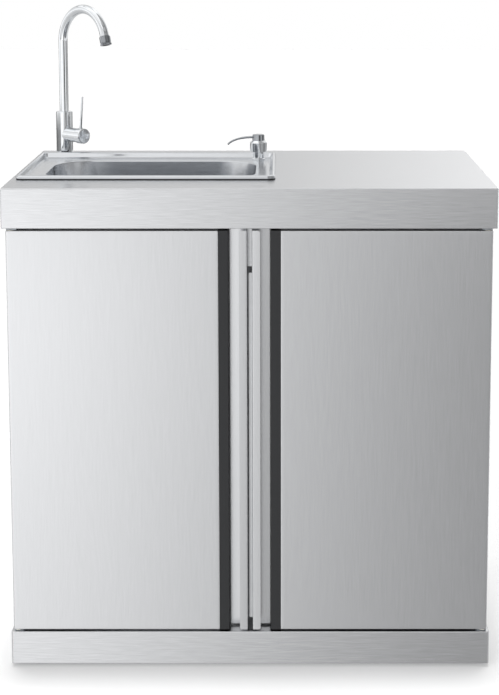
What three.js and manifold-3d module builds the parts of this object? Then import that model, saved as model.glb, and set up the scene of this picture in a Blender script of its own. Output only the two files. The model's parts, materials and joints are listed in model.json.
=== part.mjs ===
// Sink cabinet: a folded worktop with a drop-in sink, a swivel mixer tap and a soap pump,
// over a cupboard with two pivoting doors. Millimetres, X right, Y back, Z up.
// The origin is on the floor at the middle of the footprint.
import * as THREE from 'three';
import { mergeVertices } from 'three/addons/utils/BufferGeometryUtils.js';
import Module from 'manifold-3d';

const wasm = await Module();
wasm.setup();

// Shared clearances and resolutions
const fit = 0.3; // between pieces that seat on each other
const overrun = 2; // how far a cutting tool passes a face
const roundSides = 24;
const smallSides = 12;
const pinSides = 10;
const hexagonSides = 6;
const sheetCornerSteps = 3; // segments round the corner of a cut-out

// Whole cabinet
const worktopWidth = 914;
const worktopDepth = 610;
const footReach = 6; // plinth underside above the floor
const plinthHeight = 64;
const doorGap = 4; // over and under the doors
const doorHeight = 767;
const fasciaHeight = 75;

// Sheet metal
const sheet = 1.2;
const worktopSheet = 1.5;

// Plinth and floor
const plinthInset = 3; // behind the worktop's sides
const plinthSetback = 1; // behind the worktop's front and back
const plinthReturn = 15;
const gussetSize = 88;
const gussetThickness = 2;
const gussetHeight = 23; // above the plinth underside

// Levelling feet
const footInset = 50; // from the plinth's outer faces
const footPadRadius = 20;
const footPadEdge = 4;
const footPadBevel = 1.5;
const footPadCrown = 5.5;
const footScrewRadius = 5;
const footScrewTop = 54; // above the plinth underside
const footCollarRadius = 9;
const footCollarHeight = 6.5;

// Side panels
const bodyInset = 8; // body sides behind the worktop's sides
const bodyFrontGap = 3; // behind the doors
const bodyBackInset = 8; // before the worktop's back
const frontFlange = 25;
const backFlange = 20;

// Back panel and its plumbing cut-out
const cutoutWidth = 270;
const cutoutHeight = 320;
const cutoutBottom = 330; // above the cabinet floor
const cutoutRadius = 12;

// Rails and stiffener under the worktop
const frontRailDepth = 42;
const frontRailHeight = 152;
const frontRailFlange = 16;
const rearRailHeight = 70;
const rearRailFlange = 12;
const stiffenerOffset = 250; // right of the middle
const stiffenerCrown = 44;
const stiffenerHeight = 20;
const stiffenerFoot = 14;
const stiffenerEndGap = 3;

// Worktop
const fasciaReturn = 7;

// Doors: distances out from the middle line and back from the worktop's front
const doorFace = 2;
const doorThickness = 24;
const centreGap = 4.5; // half the gap between the doors
const pullFlange = 15;
const pullSheet = 1.5;
const pullDepth = 33;
const fingerGap = 20; // opening beside the front flange
const trimFace = 17.7;
const trimWall = 2;
const trimDraft = 2.3; // how far the channel's wall leans in at its foot
const trimRecess = 0.5;
const pullFoot = 18; // flange that fixes the pull to the liner
const linerSheet = 1;
const linerFlange = 8;
const stripReach = 2.6; // how far the overlap strip passes the middle line
const stripHold = 30;
const stripBottomGap = 11.5;
const stripTopGap = 84;

// Pivot hinges
const pivotInset = 8; // from the door's outer edge
const pivotSetback = 9; // behind the door's face
const pinRadius = 3;
const pinInDoor = 14;
const bushWall = 1.7;
const bushFlangeRadius = 7;
const plateThickness = 2;
const plateInner = 12; // from the pivot towards the middle
const plateOuter = 7.5;
const plateFront = 7; // before the pivot
const plateUpright = 30;

// Magnetic catches
const catchOffset = 115; // from the middle line
const catchWidth = 40;
const catchHeight = 22;
const catchDrop = 50; // below the top of the doors
const catchPlay = 0.8; // to the strike plate
const strikeThickness = 1.5;
const strikeOverlap = 3;
const catchSlot = 4;

// Sink: places are depths from the worktop's front and distances from its left side
const sinkSheet = 1;
const rimLeft = 10;
const rimWidth = 495;
const rimFront = 118;
const rimBackSpace = 95; // behind the rim
const rimRadius = 16;
const rimHeight = 6;
const rimBead = 13;
const rimBackBead = 25;
const rimSeat = 0.8; // underside of the rim over the worktop
const deckDrop = 2; // deck below the worktop's top
const bowlLeftSpace = 43; // inside the rim's outer edges
const bowlRightSpace = 38;
const bowlFrontSpace = 43;
const bowlBackSpace = 72;
const bowlRadius = 70;
const bowlRoll = 7;
const bowlHeight = 148;
const bowlDraft = 6;
const bowlFloorRadius = 26;
const bowlFall = 3;
const ringSteps = 6; // segments round each corner
const cutoutSeat = 7; // worktop under the rim
const sealWidth = 5;
const sealThickness = 0.5;

// Drain and strainer
const drainRecess = 4;
const drainRecessRadius = 58;
const drainHoleRadius = 44.3;
const drainFlangeRadius = 54;
const drainSheet = 1.5;
const drainCupRadius = 42.5;
const drainCupDepth = 38;
const drainOutletRadius = 20;
const drainOutletBore = 17;
const drainOutletLength = 22;
const gasketRadius = 56;
const gasketThickness = 3;
const lockNutRadius = 58;
const lockNutHeight = 10;
const basketRimRadius = 45.5;
const basketRadius = 39;
const basketWall = 1.2;
const basketDepth = 24;
const basketHoles = 8;
const basketHoleRadius = 2.5;
const basketHoleCircle = 26;
const basketStemRadius = 3;
const basketKnobRadius = 8;
const basketKnobRise = 9;

// Waste pipes and bottle trap
const pipeRadius = 16.7;
const pipeWall = 1.4;
const pipeLap = 12; // how far a pipe enters its socket
const tailDrop = 81.5; // from the drain's outlet down to the trap
const trapHeight = 84;
const trapRadius = 30;
const trapWall = 2.5;
const trapSocket = 22;
const trapOutletDrop = 36;
const trapOutletReach = 62;
const trapCupRadius = 34;
const trapCupRise = 22;
const trapCupHeight = 48;
const wasteEnd = 1; // waste pipe's end before the worktop's back

// Mixer tap
const tapLeft = 53.5; // axis from the worktop's left side
const tapNutGap = 5; // from the tap's nut to the rear rail
const tapTurn = 45; // degrees, from the right towards the front
const tapRadius = 17.5;
const tapHeight = 90;
const tapBevel = 1.2;
const tapHoleRadius = 14.5;
const shankRadius = 13;
const shankBore = 8;
const shankLength = 50;
const tapNutRadius = 22;
const tapNutHeight = 8;
const housingRadius = 15;
const housingReach = 50;
const housingHeight = 41.5;
const cartridgeRadius = 11.5;
const cartridgeRoot = 14;
const cartridgeStem = 4;
const knobRadius = 16.5;
const knobLength = 16.5;
const knobWall = 2.2;
const knobCrown = 3;
const leverRadius = 2.7;
const leverPlace = 5; // along the knob from its back
const leverReach = 84;
const leverTilt = 20; // degrees that the lever's slot allows
const spoutRadius = 10.3;
const spoutWall = 1.4;
const spoutRise = 238;
const spoutBend = 70;
const spoutSweep = 166; // degrees
const spoutSocket = 25;
const spoutSteps = 22;
const spoutSides = 7; // segments round half the tube
const aeratorRadius = 11.7;
const aeratorLength = 20;
const aeratorLap = 8;
const aeratorBore = 8.2;

// Soap pump, heights from the sink deck
const pumpSideInset = 36.5; // from the rim's right edge
const pumpBackInset = 53; // from the rim's back edge
const pumpFlangeRadius = 13.5;
const pumpFlangeHeight = 2;
const pumpNeckRadius = 11.8;
const pumpNeckHeight = 20;
const pumpShankRadius = 11;
const pumpShankLength = 38;
const pumpNutRadius = 19;
const pumpNutHeight = 7;
const pumpNutDrop = 2.5;
const bellRadius = 17.5;
const bellWall = 2.3;
const bellBottom = 17;
const bellTop = 40;
const bellShoulder = 3.5;
const headRadius = 12.7;
const headHeight = 13;
const headBevel = 1;
const stemRadius = 4;
const stemDrop = 62; // below the deck
const stemInHead = 5;
const nozzleRadius = 2;
const nozzleReach = 64;
const nozzleHeight = 47;
const nozzleDrop = 15.5;
const nozzleBendShare = 0.8; // where the nozzle starts to bend down
const nozzleSteps = 12;
const nozzleSides = 8;
const bottleRadius = 28;
const bottleWall = 2;
const bottleHeight = 118;
const bottleNeckDrop = 21;
const bottleNeckHeight = 16;
const bottleShoulder = 14;

// Levels and planes that follow from the sizes
const halfWidth = worktopWidth / 2;
const frontY = -worktopDepth / 2;
const backY = worktopDepth / 2;
const plinthTop = footReach + plinthHeight;
const doorBottom = plinthTop + doorGap;
const doorTop = doorBottom + doorHeight;
const fasciaBottom = doorTop + doorGap;
const topZ = fasciaBottom + fasciaHeight;
const underTop = topZ - worktopSheet;
const carcassTop = underTop - fit;
const bodyHalf = halfWidth - bodyInset;
const bodyInner = bodyHalf - sheet;
const doorBack = doorFace + doorThickness;
const pullOuter = centreGap + pullFlange;
const trimStart = pullOuter + fingerGap;
const skinStart = trimStart + trimFace + fit;
const channelBack = doorFace + pullDepth;
const bodyFront = doorBack + bodyFrontGap;
const bodyBack = worktopDepth - bodyBackInset;
const backPanelFront = bodyBack - sheet - fit - sheet;
const rearRailDepth = backPanelFront - fit - rearRailFlange;
const tapDepth = rearRailDepth - tapNutGap - tapNutRadius;
const rimDepth = worktopDepth - rimFront - rimBackSpace;
const bowlLeft = rimLeft + bowlLeftSpace;
const bowlWidth = rimWidth - bowlLeftSpace - bowlRightSpace;
const bowlFront = rimFront + bowlFrontSpace;
const bowlDepth = rimDepth - bowlFrontSpace - bowlBackSpace;
const pivotX = bodyHalf - pivotInset;
const pivotDepth = doorFace + pivotSetback;
const bushRadius = pinRadius + fit + bushWall;
const atDepth = (depth) => frontY + depth;
const fromLeft = (distance) => -halfWidth + distance;

const steel = new THREE.MeshStandardMaterial({ color: 0xc6c7c9, roughness: 0.38, metalness: 0.9 });
const sinkSteel = new THREE.MeshStandardMaterial({ color: 0xb9babc, roughness: 0.28, metalness: 0.95 });
const chrome = new THREE.MeshStandardMaterial({ color: 0xe6e8ea, roughness: 0.08, metalness: 1 });
const zinc = new THREE.MeshStandardMaterial({ color: 0xa9adb1, roughness: 0.45, metalness: 0.8 });
const blackTrim = new THREE.MeshStandardMaterial({ color: 0x3a3b3d, roughness: 0.5, metalness: 0.2 });
const rubber = new THREE.MeshStandardMaterial({ color: 0x1c1c1d, roughness: 0.85, metalness: 0 });
const nylon = new THREE.MeshStandardMaterial({ color: 0xdcdad2, roughness: 0.5, metalness: 0 });
const whitePlastic = new THREE.MeshStandardMaterial({ color: 0xf0f0ee, roughness: 0.45, metalness: 0 });

const cabinet = new THREE.Group();

// Turns a closed geometry into a solid: shared points joined, flat triangles dropped, faces out.
function solidOf(geometry) {
  const bare = new THREE.BufferGeometry();
  bare.setAttribute('position', geometry.getAttribute('position'));
  if (geometry.index) bare.setIndex(geometry.index);
  const merged = mergeVertices(bare);
  const points = merged.getAttribute('position').array;
  const corners = [];
  let volume = 0;
  const a = new THREE.Vector3();
  const b = new THREE.Vector3();
  const c = new THREE.Vector3();
  const index = merged.index.array;
  for (let i = 0; i < index.length; i += 3) {
    const [p, q, r] = [index[i], index[i + 1], index[i + 2]];
    if (p === q || q === r || r === p) continue;
    corners.push(p, q, r);
    a.fromArray(points, p * 3);
    b.fromArray(points, q * 3);
    c.fromArray(points, r * 3);
    volume += a.dot(b.cross(c));
  }
  if (volume < 0) corners.reverse();
  return new wasm.Manifold(new wasm.Mesh({
    numProp: 3,
    vertProperties: new Float32Array(points),
    triVerts: new Uint32Array(corners),
  }));
}

function geometryOf(solid) {
  const mesh = solid.getMesh();
  const geometry = new THREE.BufferGeometry();
  geometry.setAttribute('position', new THREE.BufferAttribute(mesh.vertProperties, mesh.numProp));
  geometry.setIndex(new THREE.BufferAttribute(mesh.triVerts, 1));
  return geometry;
}

function cut(geometry, ...tools) {
  return geometryOf(tools.reduce((solid, tool) => solid.subtract(solidOf(tool)), solidOf(geometry)));
}

function join(geometry, ...others) {
  return geometryOf(others.reduce((solid, other) => solid.add(solidOf(other)), solidOf(geometry)));
}

function add(parent, name, geometry, material) {
  const flat = geometryOf(solidOf(geometry)).toNonIndexed();
  flat.computeVertexNormals();
  const mesh = new THREE.Mesh(flat, material);
  mesh.name = name;
  parent.add(mesh);
  return mesh;
}

// A box from its lowest and highest place along each axis.
function block([x0, x1], [y0, y1], [z0, z1]) {
  const geometry = new THREE.BoxGeometry(Math.abs(x1 - x0), Math.abs(y1 - y0), Math.abs(z1 - z0));
  return geometry.translate((x0 + x1) / 2, (y0 + y1) / 2, (z0 + z1) / 2);
}

function outline(points) {
  return new THREE.Shape(points.map(([x, y]) => new THREE.Vector2(x, y)));
}

// An outline in X and Y, drawn up from z0 to z1.
function upright(points, z0, z1) {
  const geometry = new THREE.ExtrudeGeometry(outline(points), { depth: z1 - z0, bevelEnabled: false });
  return geometry.translate(0, 0, z0);
}

// An outline in Y and Z, drawn across from x0 to x1.
function across(points, x0, x1) {
  const turn = new THREE.Matrix4().set(0, 0, 1, 0, 1, 0, 0, 0, 0, 1, 0, 0, 0, 0, 0, 1);
  return upright(points, x0, x1).applyMatrix4(turn);
}

// An outline in X and Z, drawn back from y0 to y1.
function backward(points, y0, y1) {
  const turn = new THREE.Matrix4().set(1, 0, 0, 0, 0, 0, 1, 0, 0, 1, 0, 0, 0, 0, 0, 1);
  return upright(points, y0, y1).applyMatrix4(turn);
}

// A profile of [radius, height] turned round the Z axis.
function turned(profile, sides = roundSides) {
  const points = profile.map(([radius, height]) => new THREE.Vector2(radius, height));
  return new THREE.LatheGeometry([...points, points[0]], sides).rotateX(Math.PI / 2);
}

function rod(radius, z0, z1, sides = roundSides) {
  return turned([[0, z0], [radius, z0], [radius, z1], [0, z1]], sides);
}

function pipe(outer, inner, z0, z1, sides = roundSides) {
  return turned([[inner, z0], [outer, z0], [outer, z1], [inner, z1]], sides);
}

// Lays a piece that was turned round Z along +X or along +Y.
const alongX = (geometry) => geometry.rotateY(Math.PI / 2);
const alongY = (geometry) => geometry.rotateX(-Math.PI / 2);

function hexagon(acrossCorners, bore, z0, z1) {
  return cut(rod(acrossCorners, z0, z1, hexagonSides), rod(bore, z0 - overrun, z1 + overrun));
}

// Points of a rectangle with round corners, counter-clockwise from the right side.
function roundedOutline(left, right, front, back, radius, steps = ringSteps) {
  const corners = [
    [right - radius, back - radius],
    [left + radius, back - radius],
    [left + radius, front + radius],
    [right - radius, front + radius],
  ];
  return corners.flatMap(([x, y], quarter) =>
    Array.from({ length: steps + 1 }, (_, i) => {
      const angle = ((quarter + i / steps) * Math.PI) / 2;
      return [x + radius * Math.cos(angle), y + radius * Math.sin(angle)];
    }));
}

// Skins a closed band of rings, the last joined back to the first.
function loopOfRings(rings) {
  const count = rings[0].length;
  const index = [];
  rings.forEach((ring, row) => {
    const next = ((row + 1) % rings.length) * count;
    for (let i = 0; i < count; i += 1) {
      const j = (i + 1) % count;
      index.push(row * count + i, row * count + j, next + j, row * count + i, next + j, next + i);
    }
  });
  const geometry = new THREE.BufferGeometry();
  geometry.setAttribute('position', new THREE.Float32BufferAttribute(rings.flat(2), 3));
  return geometry.setIndex(index);
}

// Base pan: floor, four skirts with returns, and a gusset for a foot in each corner
const plinthHalf = halfWidth - plinthInset;
const plinthFrontY = atDepth(plinthSetback);
const plinthBackY = backY - plinthSetback;
const footX = plinthHalf - footInset;
const footFrontY = plinthFrontY + footInset;
const footBackY = plinthBackY - footInset;
const gussetZ = footReach + gussetHeight;
const feet = [
  ['front_left', -footX, footFrontY],
  ['front_right', footX, footFrontY],
  ['rear_left', -footX, footBackY],
  ['rear_right', footX, footBackY],
];

function basePan() {
  const innerX = plinthHalf - sheet;
  const hollow = block(
    [-innerX, innerX],
    [plinthFrontY + sheet, plinthBackY - sheet],
    [footReach + sheet, plinthTop - sheet],
  );
  const mouthX = plinthHalf - plinthReturn;
  const mouth = block(
    [-mouthX, mouthX],
    [plinthFrontY + plinthReturn, plinthBackY - plinthReturn],
    [footReach - overrun, footReach + sheet + overrun],
  );
  const outer = block([-plinthHalf, plinthHalf], [plinthFrontY, plinthBackY], [footReach, plinthTop]);
  const gussets = feet.map(([, x, y]) => {
    const sideX = Math.sign(x) * (plinthHalf - sheet / 2);
    const sideY = y < 0 ? plinthFrontY + sheet / 2 : plinthBackY - sheet / 2;
    const plate = block(
      [sideX, sideX - Math.sign(x) * gussetSize],
      [sideY, sideY - Math.sign(y) * gussetSize],
      [gussetZ, gussetZ + gussetThickness],
    );
    const hole = rod(footScrewRadius + fit, gussetZ - overrun, gussetZ + gussetThickness + overrun, smallSides);
    return cut(plate, hole.translate(x, y, 0));
  });
  return join(cut(outer, hollow, mouth), ...gussets);
}

add(cabinet, 'base_pan', basePan(), steel);

// Levelling feet: a pad, a screw and a hexagon-sized collar under the gusset
function levellingFoot() {
  const collarTop = gussetZ - fit;
  return turned([
    [0, 0],
    [footPadRadius - footPadBevel, 0],
    [footPadRadius, footPadBevel],
    [footPadRadius, footPadEdge],
    [footScrewRadius, footPadCrown],
    [footScrewRadius, collarTop - footCollarHeight],
    [footCollarRadius, collarTop - footCollarHeight],
    [footCollarRadius, collarTop],
    [footScrewRadius, collarTop],
    [footScrewRadius, footReach + footScrewTop],
    [0, footReach + footScrewTop],
  ], smallSides);
}

for (const [place, x, y] of feet) {
  add(cabinet, `levelling_foot_${place}`, levellingFoot(), zinc).position.set(x, y, 0);
}

// Side panels: a wall with a front and a back flange, standing on the base pan
function sidePanel(side) {
  const front = atDepth(bodyFront);
  const back = atDepth(bodyBack);
  const section = [
    [bodyHalf, front],
    [bodyHalf, back],
    [bodyHalf - backFlange, back],
    [bodyHalf - backFlange, back - sheet],
    [bodyInner, back - sheet],
    [bodyInner, front + sheet],
    [bodyHalf - frontFlange, front + sheet],
    [bodyHalf - frontFlange, front],
  ];
  return upright(section.map(([x, y]) => [side * x, y]), plinthTop, carcassTop);
}

add(cabinet, 'left_side_panel', sidePanel(-1), steel);
add(cabinet, 'right_side_panel', sidePanel(1), steel);

// Back panel with a rounded cut-out behind the trap
const drainX = fromLeft(bowlLeft + bowlWidth / 2);
const drainY = atDepth(bowlFront + bowlDepth / 2);

function backPanel() {
  const front = atDepth(backPanelFront);
  const back = front + sheet;
  const edge = bodyInner - fit;
  const panel = block([-edge, edge], [front, back], [plinthTop, carcassTop]);
  const hole = roundedOutline(
    drainX - cutoutWidth / 2,
    drainX + cutoutWidth / 2,
    plinthTop + cutoutBottom,
    plinthTop + cutoutBottom + cutoutHeight,
    cutoutRadius,
    sheetCornerSteps,
  );
  return cut(panel, backward(hole, front - overrun, back + overrun));
}

add(cabinet, 'back_panel', backPanel(), steel);

// Rails between the side panels, and a hat section under the bare half of the worktop
function channelRail(front, height, flange) {
  const y = atDepth(front);
  const bottom = carcassTop - height;
  const section = [
    [y, bottom],
    [y + flange, bottom],
    [y + flange, bottom + sheet],
    [y + sheet, bottom + sheet],
    [y + sheet, carcassTop - sheet],
    [y + flange, carcassTop - sheet],
    [y + flange, carcassTop],
    [y, carcassTop],
  ];
  return across(section, -bodyInner + fit, bodyInner - fit);
}

add(cabinet, 'upper_front_rail', channelRail(frontRailDepth, frontRailHeight, frontRailFlange), steel);
add(cabinet, 'upper_rear_rail', channelRail(rearRailDepth, rearRailHeight, rearRailFlange), steel);

function stiffener() {
  const half = stiffenerCrown / 2;
  const bottom = carcassTop - stiffenerHeight;
  const rightHalf = [
    [half, bottom],
    [half, carcassTop - sheet],
    [half + stiffenerFoot, carcassTop - sheet],
    [half + stiffenerFoot, carcassTop],
    [half - sheet, carcassTop],
    [half - sheet, bottom + sheet],
  ];
  const section = [...rightHalf, ...rightHalf.map(([x, z]) => [-x, z]).reverse()];
  const front = atDepth(frontRailDepth + frontRailFlange + stiffenerEndGap);
  const hat = backward(section, front, atDepth(rearRailDepth - stiffenerEndGap));
  return hat.translate(stiffenerOffset, 0, 0);
}

add(cabinet, 'worktop_stiffener', stiffener(), steel);

// Worktop: a pan with a fascia and a return all round, cut for the sink and the tap
const rimX = fromLeft(rimLeft);
const rimY = atDepth(rimFront);
const tapX = fromLeft(tapLeft);
const tapY = atDepth(tapDepth);

function worktop() {
  const outer = block([-halfWidth, halfWidth], [frontY, backY], [fasciaBottom, topZ]);
  const hollow = block(
    [-halfWidth + sheet, halfWidth - sheet],
    [frontY + sheet, backY - sheet],
    [fasciaBottom + sheet, underTop],
  );
  const mouth = block(
    [-halfWidth + fasciaReturn, halfWidth - fasciaReturn],
    [frontY + fasciaReturn, backY - fasciaReturn],
    [fasciaBottom - overrun, fasciaBottom + sheet + overrun],
  );
  const sinkHole = roundedOutline(
    rimX + cutoutSeat,
    rimX + rimWidth - cutoutSeat,
    rimY + cutoutSeat,
    rimY + rimDepth - cutoutSeat,
    rimRadius - cutoutSeat,
    sheetCornerSteps,
  );
  return cut(
    outer,
    hollow,
    mouth,
    upright(sinkHole, underTop - overrun, topZ + overrun),
    rod(tapHoleRadius, underTop - overrun, topZ + overrun).translate(tapX, tapY, 0),
  );
}

add(cabinet, 'worktop', worktop(), steel);

// Doors, drawn from the middle line outwards and mirrored for the left
function sideBlock(side, [u0, u1], [depth0, depth1], [z0, z1]) {
  return block([side * u0, side * u1], [atDepth(depth0), atDepth(depth1)], [z0, z1]);
}

function doorSection(side, section) {
  return upright(section.map(([u, depth]) => [side * u, atDepth(depth)]), doorBottom, doorTop);
}

function pivotRod(side, radius, z0, z1, sides) {
  return rod(radius, z0, z1, sides).translate(side * pivotX, atDepth(pivotDepth), 0);
}

function doorSkin(side) {
  const pan = sideBlock(side, [skinStart, bodyHalf], [doorFace, doorBack], [doorBottom, doorTop]);
  const hollow = sideBlock(
    side,
    [skinStart + sheet, bodyHalf - sheet],
    [doorFace + sheet, doorBack + overrun],
    [doorBottom + sheet, doorTop - sheet],
  );
  const holes = pivotRod(side, bushRadius + fit, doorBottom - overrun, doorTop + overrun, smallSides);
  return cut(pan, hollow, holes);
}

function doorLiner(side) {
  const edge = sheet + fit;
  const tray = sideBlock(
    side,
    [skinStart + edge, bodyHalf - edge],
    [doorBack - linerFlange, doorBack],
    [doorBottom + edge, doorTop - edge],
  );
  const inner = edge + linerSheet;
  const hollow = sideBlock(
    side,
    [skinStart + inner, bodyHalf - inner],
    [doorBack - linerFlange - overrun, doorBack - linerSheet],
    [doorBottom + inner, doorTop - inner],
  );
  return cut(tray, hollow);
}

function doorTrim(side) {
  const face = doorFace + trimRecess;
  const foot = channelBack - pullSheet - fit;
  const outer = trimStart + trimFace;
  return doorSection(side, [
    [trimStart, face],
    [outer, face],
    [outer, face + trimWall],
    [trimStart + trimWall, face + trimWall],
    [trimStart - trimDraft + trimWall, foot - trimWall],
    [outer, foot - trimWall],
    [outer, foot],
    [trimStart - trimDraft, foot],
  ]);
}

function doorHandle(side) {
  const lip = skinStart + sheet + fit + pullSheet;
  const footFace = doorBack + fit;
  return doorSection(side, [
    [centreGap, doorFace],
    [pullOuter, doorFace],
    [pullOuter, doorFace + pullSheet],
    [centreGap + pullSheet, doorFace + pullSheet],
    [centreGap + pullSheet, channelBack - pullSheet],
    [lip, channelBack - pullSheet],
    [lip, footFace],
    [lip + pullSheet + pullFoot, footFace],
    [lip + pullSheet + pullFoot, footFace + pullSheet],
    [lip + pullSheet, footFace + pullSheet],
    [lip + pullSheet, channelBack],
    [centreGap, channelBack],
  ]);
}

const upperPlateZ = doorTop + (doorGap - plateThickness) / 2;
const lowerPlateTop = plinthTop + plateThickness;

function upperBush(side) {
  const profile = [
    [pinRadius + fit, doorTop - pinInDoor],
    [bushRadius, doorTop - pinInDoor],
    [bushRadius, doorTop],
    [bushFlangeRadius, doorTop],
    [bushFlangeRadius, upperPlateZ - fit],
    [pinRadius + fit, upperPlateZ - fit],
  ];
  return turned(profile, smallSides).translate(side * pivotX, atDepth(pivotDepth), 0);
}

function lowerBush(side) {
  const profile = [
    [pinRadius + fit, lowerPlateTop + fit],
    [bushFlangeRadius, lowerPlateTop + fit],
    [bushFlangeRadius, doorBottom],
    [bushRadius, doorBottom],
    [bushRadius, doorBottom + pinInDoor],
    [pinRadius + fit, doorBottom + pinInDoor],
  ];
  return turned(profile, smallSides).translate(side * pivotX, atDepth(pivotDepth), 0);
}

function plateHole(side, z) {
  return pivotRod(side, pinRadius + fit, z - overrun, z + plateThickness + overrun, smallSides);
}

const plateBack = bodyFront - fit;
const plateSpan = [pivotX - plateInner, pivotX + plateOuter];

function upperPlate(side) {
  const [front, back] = [atDepth(pivotDepth - plateFront), atDepth(plateBack)];
  const section = [
    [front, upperPlateZ],
    [back, upperPlateZ],
    [back, upperPlateZ + plateUpright],
    [back - plateThickness, upperPlateZ + plateUpright],
    [back - plateThickness, upperPlateZ + plateThickness],
    [front, upperPlateZ + plateThickness],
  ];
  return cut(across(section, side * plateSpan[0], side * plateSpan[1]), plateHole(side, upperPlateZ));
}

function lowerPlate(side) {
  const depths = [pivotDepth - plateFront, plateBack];
  return cut(sideBlock(side, plateSpan, depths, [plinthTop, lowerPlateTop]), plateHole(side, plinthTop));
}

const catchTop = doorTop - catchDrop;
const catchSpan = [catchOffset - catchWidth / 2, catchOffset + catchWidth / 2];
const strikeBack = doorBack + fit + strikeThickness;

function magneticCatch(side) {
  const depths = [strikeBack + catchPlay, frontRailDepth - fit];
  const middle = catchTop - catchHeight / 2;
  const slot = sideBlock(
    side,
    [catchSpan[0] - overrun, catchSpan[1] + overrun],
    [depths[0] - overrun, depths[0] + catchSlot],
    [middle - catchSlot / 2, middle + catchSlot / 2],
  );
  return cut(sideBlock(side, catchSpan, depths, [catchTop - catchHeight, catchTop]), slot);
}

function strikePlate(side) {
  return sideBlock(
    side,
    [catchSpan[0] - strikeOverlap, catchSpan[1] + strikeOverlap],
    [doorBack + fit, strikeBack],
    [catchTop - catchHeight - strikeOverlap, catchTop + strikeOverlap],
  );
}

for (const [name, side] of [['left', -1], ['right', 1]]) {
  add(cabinet, `${name}_door_skin`, doorSkin(side), steel);
  add(cabinet, `${name}_door_liner`, doorLiner(side), steel);
  add(cabinet, `${name}_door_trim`, doorTrim(side), blackTrim);
  add(cabinet, `${name}_door_handle`, doorHandle(side), steel);
  add(cabinet, `${name}_strike_plate`, strikePlate(side), zinc);
  add(cabinet, `${name}_upper_bush`, upperBush(side), nylon);
  add(cabinet, `${name}_lower_bush`, lowerBush(side), nylon);
  add(cabinet, `${name}_upper_hinge_plate`, upperPlate(side), zinc);
  add(cabinet, `${name}_lower_hinge_plate`, lowerPlate(side), zinc);
  const upperPin = [doorTop - pinInDoor + fit, upperPlateZ + plateThickness];
  const lowerPin = [plinthTop + fit, doorBottom + pinInDoor - fit];
  add(cabinet, `${name}_upper_hinge_pin`, pivotRod(side, pinRadius, ...upperPin, pinSides), zinc);
  add(cabinet, `${name}_lower_hinge_pin`, pivotRod(side, pinRadius, ...lowerPin, pinSides), zinc);
  add(cabinet, `${name}_magnetic_catch`, magneticCatch(side), blackTrim);
}

// Overlap strip behind the gap, fixed to the right door's pull and kept clear of the left one
add(cabinet, 'overlap_strip', block(
  [-stripReach, stripHold],
  [atDepth(channelBack + fit), atDepth(channelBack + fit + sheet)],
  [doorBottom + stripBottomGap, doorTop - stripTopGap],
), steel);

// Sink bowl: one pressed sheet from the outer rim, over the bead, across the deck, down the
// walls and over the floor to the drain hole. Each row is a ring on the upper face, and the
// lower face is the same row moved down or outwards by the sheet.
const deckZ = topZ - deckDrop;
const pumpX = fromLeft(rimLeft + rimWidth - pumpSideInset);
const pumpY = atDepth(rimFront + rimDepth - pumpBackInset);
const bowlX = fromLeft(bowlLeft);
const bowlY = atDepth(bowlFront);
const floorZ = deckZ - bowlHeight;
const recessZ = floorZ - bowlFall - drainRecess;

function rimRing(share, height, grow) {
  const inset = rimBead * share - grow;
  return roundedOutline(
    rimX + inset,
    rimX + rimWidth - inset,
    rimY + inset,
    rimY + rimDepth - rimBackBead * share + grow,
    rimRadius - inset,
  ).map(([x, y]) => [x, y, topZ + height]);
}

function bowlRing(inset, z, grow) {
  const edge = inset - grow;
  return roundedOutline(
    bowlX + edge,
    bowlX + bowlWidth - edge,
    bowlY + edge,
    bowlY + bowlDepth - edge,
    bowlRadius - edge,
  ).map(([x, y]) => [x, y, z]);
}

function drainRing(radius, z) {
  return roundedOutline(drainX - radius, drainX + radius, drainY - radius, drainY + radius, radius)
    .map(([x, y]) => [x, y, z]);
}

// Rows of the bead: share of its width, share of its height
const beadShares = [[0.04, 0.62], [0.2, 0.94], [0.48, 1], [0.76, 0.86], [0.92, 0.3]];
// Rows of the roll into the bowl: share of the roll inwards, share of it downwards
const rollShares = [[0, 0], [0.5, 0.12], [0.88, 0.5], [1, 1]];
// Rows of the bend from the wall to the floor: share of the radius inwards, share above the floor
const bendShares = [[0, 1], [0.16, 0.46], [0.5, 0.14], [1, 0]];

// The bend is no wider than the floor leaves beside the drain's recess.
const recessLip = drainRecessRadius + drainRecess / 2;
const floorBend = Math.min(bowlFloorRadius, bowlDepth / 2 - bowlRoll - bowlDraft - recessLip);

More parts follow.
